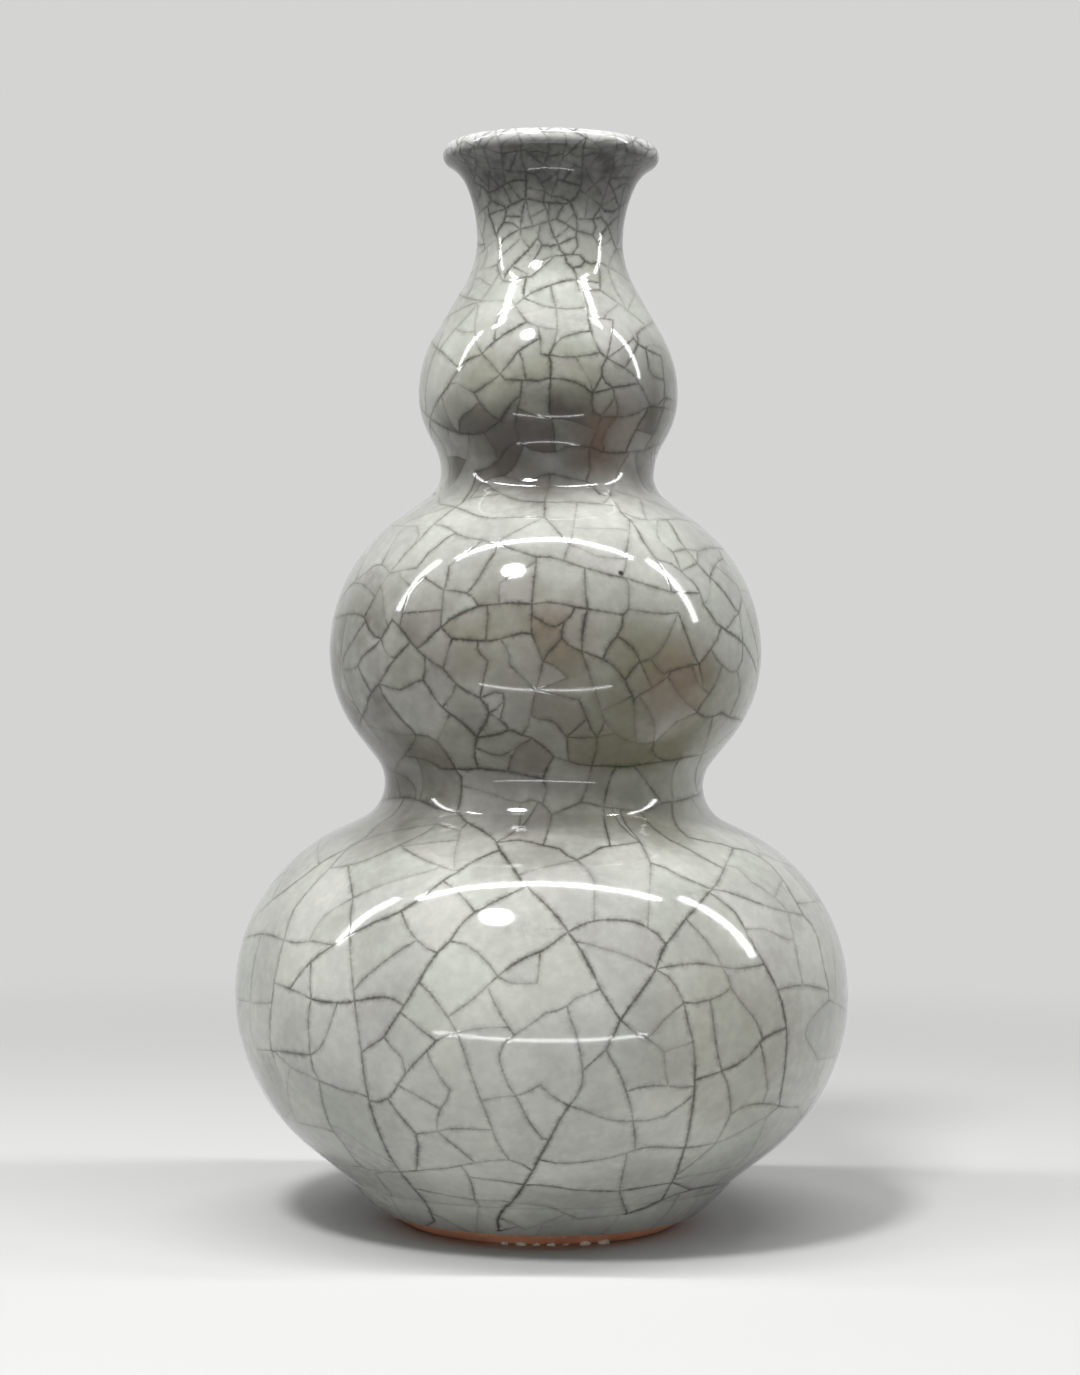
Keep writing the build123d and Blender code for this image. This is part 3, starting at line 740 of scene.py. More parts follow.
@dataclass
class PhotoCamera:
    """The camera that took the photograph, in the vase's frame."""

    width: float = 1080.0
    height: float = 1375.0
    focal_pixels: float = 2900.0
    distance: float = 675.4 * MM
    aside: float = -1.16 * MM
    level: float = 123.9 * MM
    roll: float = math.radians(0.64)
    sensor_mm: float = 36.0
    clip_start: float = 0.01
    search: float = 80 * MM
    search_steps: int = 90
    halvings: int = 18

    def build(self) -> None:
        """Place the camera and make it the scene's own."""
        data = bpy.data.cameras.new("photo_camera")
        data.sensor_width = self.sensor_mm
        data.lens = self.focal_pixels * self.sensor_mm / self.height
        data.clip_start = self.clip_start
        camera = bpy.data.objects.new("photo_camera", data)
        camera.location = (self.aside, -self.distance, self.level)
        camera.rotation_euler = (math.pi / 2, -self.roll, 0)
        bpy.context.collection.objects.link(camera)
        bpy.context.scene.camera = camera

    def ray(self, pixel: tuple[float, float]) -> tuple[Vector, Vector]:
        """Start and direction of the sight line through a pixel of the photograph."""
        across, up = pixel[0] - self.width / 2, self.height / 2 - pixel[1]
        cosine, sine = math.cos(self.roll), math.sin(self.roll)
        direction = Vector((across * cosine - up * sine, self.focal_pixels, across * sine + up * cosine))
        return Vector((self.aside, -self.distance, self.level)), direction.normalized()

    def strike(self, chart: Chart, pixel: tuple[float, float]) -> tuple[float, float] | None:
        """Where the sight line through a pixel meets the glaze.

        Args:
            chart: The chart of the glaze.
            pixel: Column and row in the photograph.

        Returns:
            Turn and height on the chart, or None where the line misses the vase.
        """
        start, along = self.ray(pixel)

        def gap(reach: float) -> float:
            """How far outside the glaze a point of the sight line is."""
            spot = start + along * reach
            if not chart.climb[0] <= spot.z <= chart.climb[-1]:
                return 1.0
            return math.hypot(spot.x, spot.y) - chart.radius_at_height(spot.z)

        near = self.distance - self.search
        for count in range(self.search_steps):
            reach = near + count * MM
            if gap(reach) <= 0:
                low, high = reach - MM, reach
                for _ in range(self.halvings):
                    middle = (low + high) / 2
                    low, high = (middle, high) if gap(middle) > 0 else (low, middle)
                spot = start + along * high
                return math.atan2(spot.x, -spot.y), chart.place_at_height(spot.z)
        return None


def spline(points: list[Vector], spacing: float) -> list[Vector]:
    """A smooth line through some points.

    Args:
        points: The points, two or more.
        spacing: About how far apart the points of the result are.

    Returns:
        Points along the line, its ends included.
    """
    ends = [points[0] * 2 - points[1], *points, points[-1] * 2 - points[-2]]
    line = [points[0]]
    for before, first, last, after in zip(ends, ends[1:], ends[2:], ends[3:]):
        count = max(1, round((last - first).length / spacing))
        for index in range(1, count + 1):
            share = index / count
            line.append(
                (
                    first * 2
                    + (last - before) * share
                    + (before * 2 - first * 5 + last * 4 - after) * share**2
                    + (first * 3 - before - last * 3 + after) * share**3
                )
                * 0.5
            )
    return line


def crossing(spot: Vector, along: Vector, first: Vector, last: Vector) -> tuple[float, float] | None:
    """Where a line through a spot meets a straight edge.

    Args:
        spot: A point on the line.
        along: The line's direction.
        first: The edge's start.
        last: The edge's end.

    Returns:
        The distance along the line and the share along the edge, or None where they miss.
    """
    edge = last - first
    spread = along.x * edge.y - along.y * edge.x
    if abs(spread) < TINY:
        return None
    gap = first - spot
    reach = (gap.x * edge.y - gap.y * edge.x) / spread
    share = (gap.x * along.y - gap.y * along.x) / spread
    return (reach, share) if 0 <= share <= 1 else None


def holds(corners: list[Vector], spot: Vector) -> bool:
    """Whether a flat outline holds a spot."""
    inside = False
    for first, last in zip(corners, corners[1:] + corners[:1]):
        if (first.y > spot.y) != (last.y > spot.y):
            if spot.x < (last.x - first.x) * (spot.y - first.y) / (last.y - first.y) + first.x:
                inside = not inside
    return inside


def folds(corners: list[Vector]) -> bool:
    """Whether a flat outline crosses itself."""
    around = zip(corners, corners[1:] + corners[:1])
    whole = sum(first.x * last.y - first.y * last.x for first, last in around)
    spread = 0.0
    for triangle in geometry.tessellate_polygon([corners]):
        first, second, third = (corners[index] for index in triangle)
        spread += abs((second - first).cross(third - first))
    return spread > whole * FOLD_EXCESS


@dataclass
class CrackSheet:
    """The glaze's crackle on the chart: cracks read from the photograph, and seeded ones everywhere else."""

    chart: Chart
    camera: PhotoCamera
    seed: int = 41
    spacing: float = 2.4 * MM
    snap: float = 3.6 * MM
    snap_window: float = 0.4
    reach: float = 9.0 * MM
    reach_window: float = 0.6
    side_turn: float = 1.0
    side_reach: float = 2.5
    edge_turn: float = math.radians(87)
    edge_margin: float = 0.12
    rim_points: int = 90
    rim_margin: float = 0.02
    weld: float = 2e-5
    cell_output: int = 4
    seam_waves: tuple[tuple[float, float, float], ...] = ((0.10, 2.3, 0.4), (0.05, 6.1, 0.0))
    side_waves: tuple[tuple[float, float, int], ...] = ((0.055, 2.9, 1), (0.03, 7.7, 2))
    first_inset: float = 1e-6
    band: float = 1.5 * MM
    tight_share: float = 0.85
    rim_steps: int = 3
    least_gap: float = 0.4
    edge_kept: float = 0.12
    narrow_rounds: int = 14
    narrow_step: float = 0.7
    merge: float = 0.75 * MM
    merge_levels: int = 24
    rim_merge: float = 0.006
    sliver_share: float = 0.03
    sliver_width: float = 0.45 * MM
    join_bias: float = 1.2
    size_spread: tuple[float, float] = (0.75, 1.5)
    shift_share: float = 0.3
    tilt: float = 0.4
    tries: int = 8
    lean_share: float = 0.34
    square_share: float = 0.7
    corner_share: float = 0.15
    seen_weights: tuple[float, float] = (0.14, 0.34)
    hidden_weights: tuple[float, ...] = (0.25, 0.4, 0.55, 0.7, 0.8)
    bare_weight: float = 0.2
    front_turn: float = math.radians(80)
    front_ease: float = 1.7
    dense_height: float = 224 * MM
    chosen_cells: tuple[tuple[float, float], ...] = (
        (0.0, 90.0), (14.0, 150.0), (40.0, 215.0), (85.0, 190.0), (101.0, 95.0), (135.0, 105.0),
        (165.0, 85.0), (178.0, 45.0), (200.0, 62.0), (222.0, 28.0), (236.0, 17.0), (250.0, 16.0),
    )

    def __post_init__(self) -> None:
        """Start the seeded choice."""
        self.chance = random.Random(self.seed)

    def cell_size(self, turn: float, place: float) -> float:
        """The area over which a cell at a place cracks again."""
        height = self.chart.at(place)[1] / MM
        sizes = self.chosen_cells
        for (low, small), (high, big) in zip(sizes, sizes[1:]):
            if height <= high:
                share = min(max((height - low) / (high - low), 0.0), 1.0)
                size = small + (big - small) * share
                break
        else:
            size = sizes[-1][1]
        ease = self.front_ease if abs(turn) < self.front_turn and height < self.dense_height / MM else 1.0
        return size * ease * MM * MM

    def seam_turn(self, place: float) -> float:
        """Turn of the wavy line at the back where the chart closes on itself."""
        waves = (size * math.sin(rate * place + start) for size, rate, start in self.seam_waves)
        return sum(waves, math.pi)

    def side_line(self, side: int) -> list[Vector]:
        """A wavy upright crack at the edge of what the photograph shows."""
        line = []
        place = 0.0
        while place < self.chart.end:
            waves = (size * math.sin(rate * place + shift * side) for size, rate, shift in self.side_waves)
            line.append(Vector((side * self.edge_turn + sum(waves), place)))
            place += self.spacing / self.chart.radius(place)
        line.append(Vector((line[-1].x, self.chart.end)))
        return line

    def read_lines(self) -> list[tuple[list[Vector], float]]:
        """Every crack of the photograph as a line on the chart, with its weight."""
        lines = []
        for crack in LOWER_BULB_CRACKS + MIDDLE_BULB_CRACKS + UPPER_BULB_CRACKS + NECK_AND_LIP_CRACKS:
            spots = [self.camera.strike(self.chart, pixel) for pixel in crack.pixels]
            seen = self.edge_turn - self.edge_margin
            points = [Vector(spot) for spot in spots if spot and abs(spot[0]) < seen]
            if len(points) < 2:
                continue
            radius = self.chart.radius(points[0].y)
            lines.append((spline(points, self.spacing / radius), crack.weight.value))
        return lines

    def settle_ends(self, lines: list[tuple[list[Vector], float]], sides: list[list[Vector]]) -> None:
        """Bring every loose end of a crack to the crack that stops it.

        Args:
            lines: The cracks, whose ends move.
            sides: Fixed lines that stop a crack too.
        """
        edges = []
        for owner, line in enumerate([line for line, _ in lines] + sides):
            edges += [(owner, first, last) for first, last in zip(line, line[1:])]
        def far(first: Vector, tip: Vector, window: float) -> bool:
            """Whether an edge starts too far from a crack's tip to matter."""
            return abs(first.x - tip.x) > window or abs(first.y - tip.y) > window

        for owner, (line, _) in enumerate(lines):
            for end, inner in ((0, 1), (-1, -2)):
                tip = line[end]
                radius = self.chart.radius(tip.y)
                best, spot = self.snap / radius, None
                for other, first, last in edges:
                    if other == owner or far(first, tip, self.snap_window):
                        continue
                    near, share = geometry.intersect_point_line(tip, first, last)
                    near = first if share < 0 else last if share > 1 else near
                    if (near.to_2d() - tip).length < best:
                        best, spot = (near.to_2d() - tip).length, near.to_2d()
                if spot is not None:
                    line[end] = spot
                    continue
                along = (tip - line[inner]).normalized()
                best = self.reach / radius * (self.side_reach if abs(tip.x) > self.side_turn else 1.0)
                for other, first, last in edges:
                    if other == owner or far(first, tip, self.reach_window):
                        continue
                    hit = crossing(tip, along, first, last)
                    if hit and 0 < hit[0] < best:
                        best, spot = hit[0], tip + along * hit[0]
                if spot is not None:
                    line.insert(len(line) if end else 0, spot)

    def cells(self) -> Sheet:
        """The chart cut into cells along the cracks of the photograph.

        Returns:
            A flat mesh of turn against height on the chart, with each edge's weight in a layer.
        """
        sides = [self.side_line(-1), self.side_line(1)]
        lines = self.read_lines()
        self.settle_ends(lines, sides)
        points: list[Vector] = []
        edges: list[tuple[int, int]] = []
        weights: list[float] = []

        def lay(line: list[Vector], weight: float) -> list[int]:
            """Add a line's points and edges."""
            start = len(points)
            points.extend(line)
            numbers = list(range(start, len(points)))
            edges.extend(zip(numbers, numbers[1:]))
            weights.extend([weight] * (len(numbers) - 1))
            return numbers

        right = []
        place = 0.0
        while place < self.chart.end - self.rim_margin:
            right.append(Vector((self.seam_turn(place), place)))
            place += self.spacing / self.chart.radius(place)
        right.append(Vector((self.seam_turn(self.chart.end), self.chart.end)))
        left = [Vector((point.x - 2 * math.pi, point.y)) for point in right]
        count = self.rim_points
        bottom = [left[0].lerp(right[0], index / count) for index in range(1, count)]
        top = [right[-1].lerp(left[-1], index / count) for index in range(1, count)]
        rim = bottom + right + top + left[::-1]
        ring = lay(rim, Weight.FAINT.value)
        edges.append((ring[-1], ring[0]))
        weights.append(Weight.FAINT.value)
        for line in sides:
            lay(line, Weight.FAINT.value)
        for line, weight in lines:
            lay(line, weight)
        made = geometry.delaunay_2d_cdt(points, edges, [ring], self.cell_output, self.weld)
        spots, links, faces, _, from_edges, from_faces = made
        mesh = bmesh.new()
        layer = mesh.edges.layers.float.new("weight")
        verts = [mesh.verts.new((spot.x, spot.y, 0)) for spot in spots]
        known = {}
        for link, sources in zip(links, from_edges):
            kept = [weights[source] for source in sources if source < len(weights)]
            known[frozenset(link)] = max(kept, default=Weight.HAIR.value)
        for corners, sources in zip(faces, from_faces):
            if sources:
                mesh.faces.new([verts[index] for index in corners])
        mesh.verts.index_update()
        for edge in mesh.edges:
            edge[layer] = known.get(frozenset(vert.index for vert in edge.verts), Weight.HAIR.value)
        loose = [vert for vert in mesh.verts if not vert.link_faces]
        bmesh.ops.delete(mesh, geom=loose, context="VERTS")
        return mesh

    def area(self, face: Cell) -> tuple[float, Vector]:
        """A cell's real area and its middle on the chart."""
        middle = face.calc_center_median_weighted().to_2d()
        return face.calc_area() * self.chart.radius(middle.y) ** 2, middle

    def merge_close(self, mesh: Sheet) -> None:
        """Merge points that lie too close together, keeping those on the sheet's rim."""
        levels = [self.chart.end * index / self.merge_levels for index in range(self.merge_levels + 1)]
        for low, high in zip(levels, levels[1:]):
            reach = self.merge / self.chart.radius((low + high) / 2)
            inner = [vert for vert in mesh.verts if low <= vert.co.y < high and not vert.is_boundary]
            found = bmesh.ops.find_doubles(mesh, verts=inner, dist=reach)
            bmesh.ops.weld_verts(mesh, targetmap=found["targetmap"])
        rim = [vert for vert in mesh.verts if vert.is_boundary]
        found = bmesh.ops.find_doubles(mesh, verts=mesh.verts[:], keep_verts=rim, dist=self.rim_merge)
        bmesh.ops.weld_verts(mesh, targetmap=found["targetmap"])
        bmesh.ops.dissolve_degenerate(mesh, dist=self.rim_merge / 8, edges=mesh.edges[:])

    def join_slivers(self, mesh: Sheet) -> None:
        """Join every sliver between cracks to the neighbour behind its weakest side."""
        layer = mesh.edges.layers.float["weight"]
        for face in sorted(mesh.faces, key=lambda item: item.calc_area()):
            if not face.is_valid:
                continue
            size, middle = self.area(face)
            thin = 2 * face.calc_area() / max(face.calc_perimeter(), SAME_PLACE) * self.chart.radius(middle.y)
            if size > self.sliver_share * self.cell_size(middle.x, middle.y) and thin > self.sliver_width:
                continue
            gains: dict[Cell, float] = {}
            for edge in face.edges:
                for other in edge.link_faces:
                    if other is not face:
                        gain = edge.calc_length() * (self.join_bias - edge[layer])
                        gains[other] = gains.get(other, 0.0) + gain
            for other in sorted(gains, key=lambda item: -gains[item]):
                if bmesh.utils.face_join([face, other], True):
                    break

    def crack_again(self, mesh: Sheet) -> None:
        """Split every cell that is too big, along seeded cracks that meet their neighbours squarely."""
        layer = mesh.edges.layers.float["weight"]
        waiting = list(mesh.faces)
        while waiting:
            face = waiting.pop()
            size, middle = self.area(face)
            if size < self.cell_size(middle.x, middle.y) * self.chance.uniform(*self.size_spread):
                continue
            fresh = self.split(face, middle, layer)
            if fresh:
                waiting += [face, fresh]

    def split(self, face: Cell, middle: Vector, layer: Layer) -> Cell | None:
        """Crack one cell in two.

        Args:
            face: The cell.
            middle: Its middle on the chart.
            layer: The layer that holds each edge's weight.

        Returns:
            The new half, or None where the cell can't be split.
        """
        corners = [loop.vert.co.to_2d() for loop in face.loops]
        sum_xx = sum((corner.x - middle.x) ** 2 for corner in corners)
        sum_yy = sum((corner.y - middle.y) ** 2 for corner in corners)
        sum_xy = sum((corner.x - middle.x) * (corner.y - middle.y) for corner in corners)
        axis = 0.5 * math.atan2(2 * sum_xy, sum_xx - sum_yy)
        extent = math.sqrt(max(sum_xx, sum_yy) / len(corners))
        shift = extent * self.chance.uniform(-self.shift_share, self.shift_share)
        spot = middle + Vector((math.cos(axis), math.sin(axis))) * shift
        for _ in range(self.tries):
            if holds(corners, spot):
                break
            spot = middle.lerp(corners[self.chance.randrange(len(corners))], self.chance.uniform(0.2, 0.8))
        else:
            return None
        heading = axis + math.pi / 2 + self.chance.uniform(-self.tilt, self.tilt)
        along = Vector((math.cos(heading), math.sin(heading)))
        ahead, behind = None, None
        for loop, first, last in zip(face.loops, corners, corners[1:] + corners[:1]):
            hit = crossing(spot, along, first, last)
            if not hit:
                continue
            if hit[0] > 0 and (ahead is None or hit[0] < ahead[0]):
                ahead = (hit[0], hit[1], loop)
            if hit[0] < 0 and (behind is None or hit[0] > behind[0]):
                behind = (hit[0], hit[1], loop)
        if not ahead or not behind:
            return None
        first, first_in = self.landing(ahead, layer)
        last, last_in = self.landing(behind, layer)
        if first is last or any(first in edge.verts for edge in last.link_edges):
            return None
        start, stop = first.co.to_2d(), last.co.to_2d()
        chord = stop - start
        corners = [loop.vert.co.to_2d() for loop in face.loops]
        lean = chord.length * self.lean_share
        straight = chord.normalized() * (1 - self.square_share)
        count = max(2, round(chord.length * self.chart.radius(middle.y) / self.spacing))
        path = geometry.interpolate_bezier(
            start, start + (first_in * self.square_share + straight) * lean,
            stop + (last_in * self.square_share - straight) * lean, stop, count + 1,
        )[1:-1]
        if not all(holds(corners, point) for point in path):
            path = [start.lerp(stop, index / count) for index in range(1, count)]
        seen = abs(middle.x) < self.front_turn and self.chart.at(middle.y)[1] < self.dense_height
        weight = self.chance.uniform(*self.seen_weights) if seen else self.chance.choice(self.hidden_weights)
        made = bmesh.utils.face_split(face, first, last, coords=[(point.x, point.y, 0) for point in path])
        if not made or not made[0]:
            return None
        fresh = made[0]
        shared = set(face.edges) & set(fresh.edges)
        for edge in shared:
            edge[layer] = weight
        return fresh

    def landing(
        self, hit: tuple[float, float, bmesh.types.BMLoop], layer: Layer
    ) -> tuple[bmesh.types.BMVert, Vector]:
        """The vertex where a new crack meets an old one, and the way into the cell from there.

        Args:
            hit: Distance, share along the edge and the loop of the edge that is met.
            layer: The layer that holds each edge's weight.

        Returns:
            The vertex and the inward direction.
        """
        _, share, loop = hit
        edge = loop.edge
        first, last = loop.vert, loop.link_loop_next.vert
        side = (last.co - first.co).to_2d().normalized()
        inward = Vector((-side.y, side.x))
        if loop.face.normal.z < 0:
            inward = -inward
        if edge.is_boundary or not self.corner_share <= share <= 1 - self.corner_share:
            return (first if share < 0.5 else last), inward
        weight = edge[layer]
        fresh_edge, vert = bmesh.utils.edge_split(edge, first, share)
        fresh_edge[layer] = weight
        edge[layer] = weight
        return vert, inward

    def network(self) -> Sheet:
        """Every cell of the glaze, flat on the chart, facing up."""
        mesh = self.cells()
        bmesh.ops.recalc_face_normals(mesh, faces=mesh.faces[:])
        if mesh.faces[0].normal.z < 0:
            bmesh.ops.reverse_faces(mesh, faces=mesh.faces[:])
        for face in mesh.faces:
            face.normal_update()
        self.merge_close(mesh)
        self.join_slivers(mesh)
        self.crack_again(mesh)
        self.merge_close(mesh)
        self.join_slivers(mesh)
        mesh.normal_update()
        return mesh

    def build(self) -> Sheet:
        """The whole flat sheet: every cell with a band along its cracks.

        Returns:
            A flat mesh with, on each vertex, how far from a crack it is and how dark that crack is, and
            on each face its cell's tone.
        """
        mesh = self.network()
        weight = mesh.edges.layers.float["weight"]
        dark = mesh.verts.layers.float.new("crack_depth")
        gap = mesh.verts.layers.float.new("crack_gap")
        tone = mesh.faces.layers.float.new("cell_tone")
        for vert in mesh.verts:
            values = [edge[weight] for edge in vert.link_edges]
            vert[dark] = max(values, default=self.bare_weight)
        cells = mesh.faces[:]
        inner = []
        for face in cells:
            face[tone] = self.chance.random()
            inner.append(self.inner_outline(face))
        bmesh.ops.inset_individual(mesh, faces=cells, thickness=self.first_inset)
        for face, points in zip(cells, inner):
            for loop, (point, width) in zip(face.loops, points):
                loop.vert.co = (point.x, point.y, 0)
                share = width * self.chart.radius(point.y) / self.band
                loop.vert[gap] = min(1.0, max(share, self.least_gap))
        return mesh

    def inner_outline(self, face: Cell) -> list[tuple[Vector, float]]:
        """The inner edge of the band along a cell's cracks, narrow where the cell is tight.

        Args:
            face: The cell.

        Returns:
            For each corner, the inner point and the band's width there.
        """
        corners = [loop.vert.co.to_2d() for loop in face.loops]
        count = len(corners)
        sides = [(after - here).normalized() for here, after in zip(corners, corners[1:] + corners[:1])]
        inward = [Vector((-side.y, side.x)) for side in sides]
        ways = [(before + after).normalized() for before, after in zip(inward[-1:] + inward[:-1], inward)]
        steps = self.rim_steps
        rim = [
            here.lerp(after, step / steps) for here, after in zip(corners, corners[1:] + corners[:1])
            for step in range(steps)
        ]
        widths = []
        for index, (corner, way) in enumerate(zip(corners, ways)):
            width = self.band / self.chart.radius(corner.y)
            away = 1 - way.dot(inward[index]) ** 2
            for step in range(steps + 1, len(rim) - steps):
                gap = corner - rim[(index * steps + step) % len(rim)]
                toward = -gap.dot(way)
                spread = toward * toward - gap.length_squared * away
                if toward > 0 and spread > 0:
                    width = min(width, self.tight_share * gap.length_squared / (toward + math.sqrt(spread)))
            widths.append(width)
        for _ in range(self.narrow_rounds):
            moved = [corner + way * width for corner, way, width in zip(corners, ways, widths)]
            tight = set()
            for index, side in enumerate(sides):
                after = (index + 1) % count
                least = self.edge_kept * (corners[after] - corners[index]).length
                if (moved[after] - moved[index]).dot(side) < least:
                    tight |= {index, after}
            if not tight and not folds(moved):
                break
            for index in tight or range(count):
                widths[index] *= self.narrow_step
        return list(zip(moved, widths))


@dataclass
class GlazeBulb:
    """One bulb of the crackled outer coat."""

    name: str
    low: float
    high: float
    column: float = math.radians(5)
    lining: float = 0.8 * MM
    lining_columns: int = 96
    lining_rows: int = 40
    lining_start: float = 0.03
    half_turn: float = math.radians(190)
    row_rise: float = 4.2 * MM
    row_turn: float = math.radians(7)
    row_least: float = 0.35 * MM
    crease_reach: float = 0.45 * MM
    cut_gap: float = 1e-7
    wave_rate: float = 4.0
    glaze_wave: float = 0.45 * MM
    seam_gap: float = 0.01 * MM
    seam_turn: float = 2.8
    tuck: float = 0.03 * MM

    def rows(self, chart: Chart) -> list[float]:
        """Heights of the chart where the bulb's mesh is cut so that it follows the outline."""
        found = []
        travelled = turned = 0.0
        for index in range(1, len(chart.places)):
            place = chart.places[index]
            if not self.low < place < self.high:
                continue
            now, last = chart.samples[index], chart.samples[index - 1]
            travelled += math.hypot(now[0] - last[0], now[1] - last[1])
            turned += abs(now[2] - last[2])
            if abs(now[1] - chart.outline.crease.y) < self.crease_reach:
                found.append(place)
                continue
            if travelled > self.row_rise or (turned > self.row_turn and travelled > self.row_least):
                found.append(place)
                travelled = turned = 0.0
        return found

    def cut(self, sheet: Sheet, chart: Chart) -> Sheet:
        """The bulb's part of the flat sheet, cut finely enough to bend.

        Args:
            sheet: The whole flat sheet.
            chart: The chart that it lies on.

        Returns:
            A new flat mesh.
        """
        mesh = sheet.copy()
        for place, below, above in ((self.low, True, False), (self.high, False, True)):
            if 0 < place < chart.end:
                geom = mesh.verts[:] + mesh.edges[:] + mesh.faces[:]
                bmesh.ops.bisect_plane(mesh, geom=geom, dist=self.cut_gap, plane_co=(0, place, 0),
                                       plane_no=(0, 1, 0), clear_inner=below, clear_outer=above)
        for place in self.rows(chart):
            self.slice(mesh, 1, place)
        count = math.ceil(self.half_turn / self.column)
        for index in range(-count, count + 1):
            self.slice(mesh, 0, index * self.column)
        mesh.normal_update()
        bmesh.ops.triangulate(mesh, faces=mesh.faces[:])
        return mesh

    def slice(self, mesh: Sheet, axis: int, place: float) -> None:
        """Cut the cells that a line of the chart crosses."""
        crossed = []
        for face in mesh.faces:
            sides = [vert.co[axis] < place for vert in face.verts]
            if any(sides) and not all(sides):
                crossed.append(face)
        if not crossed:
            return
        edges = {edge for face in crossed for edge in face.edges}
        verts = {vert for face in crossed for vert in face.verts}
        plane = (place, 0, 0) if axis == 0 else (0, place, 0)
        facing = (1, 0, 0) if axis == 0 else (0, 1, 0)
        bmesh.ops.bisect_plane(mesh, geom=[*verts, *edges, *crossed], dist=self.cut_gap, plane_co=plane,
                               plane_no=facing)

    def build(self, sheet: Sheet, chart: Chart) -> Piece:
        """The bulb's coat as a closed shell.

        Args:
            sheet: The whole flat sheet.
            chart: The chart that it lies on.

        Returns:
            The coat's object.
        """
        mesh = self.cut(sheet, chart)
        uv = mesh.loops.layers.uv.new("OFBake")
        self.lay_out(mesh, uv)
        crease = chart.outline.crease.y
        lean = chart.outline.foot_wall(0).at(chart.outline.glaze_start())[2]
        normal_layer = mesh.verts.layers.float_vector.new("wall_normal")
        seam = [vert for vert in mesh.verts if vert.is_boundary and abs(vert.co.x) > self.seam_turn]
        for vert in mesh.verts:
            turn, place = vert.co.x, vert.co.y
            point, normal = chart.point(turn, place)
            if point.z < crease:
                fade = min(max((crease - point.z) / (crease - chart.outline.glaze_line), 0.0), 1.0)
                way = Vector((math.sin(turn), math.cos(turn), 0))
                wave = self.glaze_wave * fade * noise.noise(way * self.wave_rate)
                around = Vector((math.sin(turn), -math.cos(turn), 0))
                point += (around * math.sin(lean) + Vector((0, 0, math.cos(lean)))) * wave
            vert.co = point - normal * self.tuck
            vert[normal_layer] = normal
        bmesh.ops.remove_doubles(mesh, verts=seam, dist=self.seam_gap)
        self.line(mesh, chart, normal_layer, uv)
        data = bpy.data.meshes.new(self.name)
        mesh.normal_update()
        mesh.verts.index_update()
        directions = [vert[normal_layer].copy() for vert in mesh.verts]
        mesh.verts.layers.float_vector.remove(normal_layer)
        mesh.to_mesh(data)
        mesh.free()
        data.polygons.foreach_set("use_smooth", [True] * len(data.polygons))
        data.normals_split_custom_set_from_vertices(directions)
        data.update()
        piece = bpy.data.objects.new(self.name, data)
        bpy.context.collection.objects.link(piece)
        return piece

    def lay_out(self, mesh: Sheet, uv: Layer) -> None:
        """Lay the flat sheet out for baking, left half under right half."""
        span = self.high - self.low
        for face in mesh.faces:
            right = face.calc_center_median().x >= 0
            for loop in face.loops:
                across = abs(loop.vert.co.x) / (math.pi + 0.25)
                up = (loop.vert.co.y - self.low) / span
                loop[uv].uv = (0.01 + 0.98 * across, (0.01 if right else 0.49) + 0.46 * up)

    def line(self, mesh: Sheet, chart: Chart, normals: Layer, uv: Layer) -> None:
        """Close the coat with a plain wall on its clay side.

        Args:
            mesh: The coat's outside, bent to shape.
            chart: The chart that it came from.
            normals: The layer that holds each vertex's normal.
            uv: The layout for baking.
        """
        outside = set(mesh.verts)
        rims = [edge for edge in mesh.edges if edge.is_boundary]
        inner = []
        start = max(self.low, self.lining_start)
        for index in range(self.lining_rows + 1):
            place = start + (self.high - start) * index / self.lining_rows
            radius, height, lean = chart.at(place)
            inner.append((radius - self.lining * math.cos(lean), height + self.lining * math.sin(lean)))
        verts = [mesh.verts.new((0, -radius, height)) for radius, height in inner]
        edges = [mesh.edges.new(pair) for pair in zip(verts, verts[1:])]
        bmesh.ops.spin(mesh, geom=verts + edges, cent=(0, 0, 0), axis=(0, 0, 1), angle=2 * math.pi,
                       steps=self.lining_columns, use_merge=True, use_duplicate=False)
        lining = [vert for vert in mesh.verts if vert not in outside]
        for vert in lining:
            vert[normals] = Vector((-vert.co.x, -vert.co.y, 0)).normalized()
        loops = rims + [edge for edge in mesh.edges if edge.is_boundary and edge.verts[0] not in outside]
        middle = (inner[0][1] + inner[-1][1]) / 2
        low = [edge for edge in loops if edge.verts[0].co.z < middle]
        high = [edge for edge in loops if edge.verts[0].co.z >= middle]
        before = set(mesh.faces)
        for ends in (low, high):
            bmesh.ops.bridge_loops(mesh, edges=ends)
        bmesh.ops.recalc_face_normals(mesh, faces=mesh.faces[:])
        mesh.normal_update()
        if sum(face.normal.dot(face.verts[0][normals]) for face in before if face.verts[0] in outside) < 0:
            bmesh.ops.reverse_faces(mesh, faces=mesh.faces[:])
        for face in mesh.faces:
            if face in before and all(vert in outside for vert in face.verts):
                continue
            for loop in face.loops:
                turn = math.atan2(loop.vert.co.x, -loop.vert.co.y) / (2 * math.pi) + 0.5
                loop[uv].uv = (turn, 0.97 + 0.02 * (loop.vert.co.z / chart.outline.top))


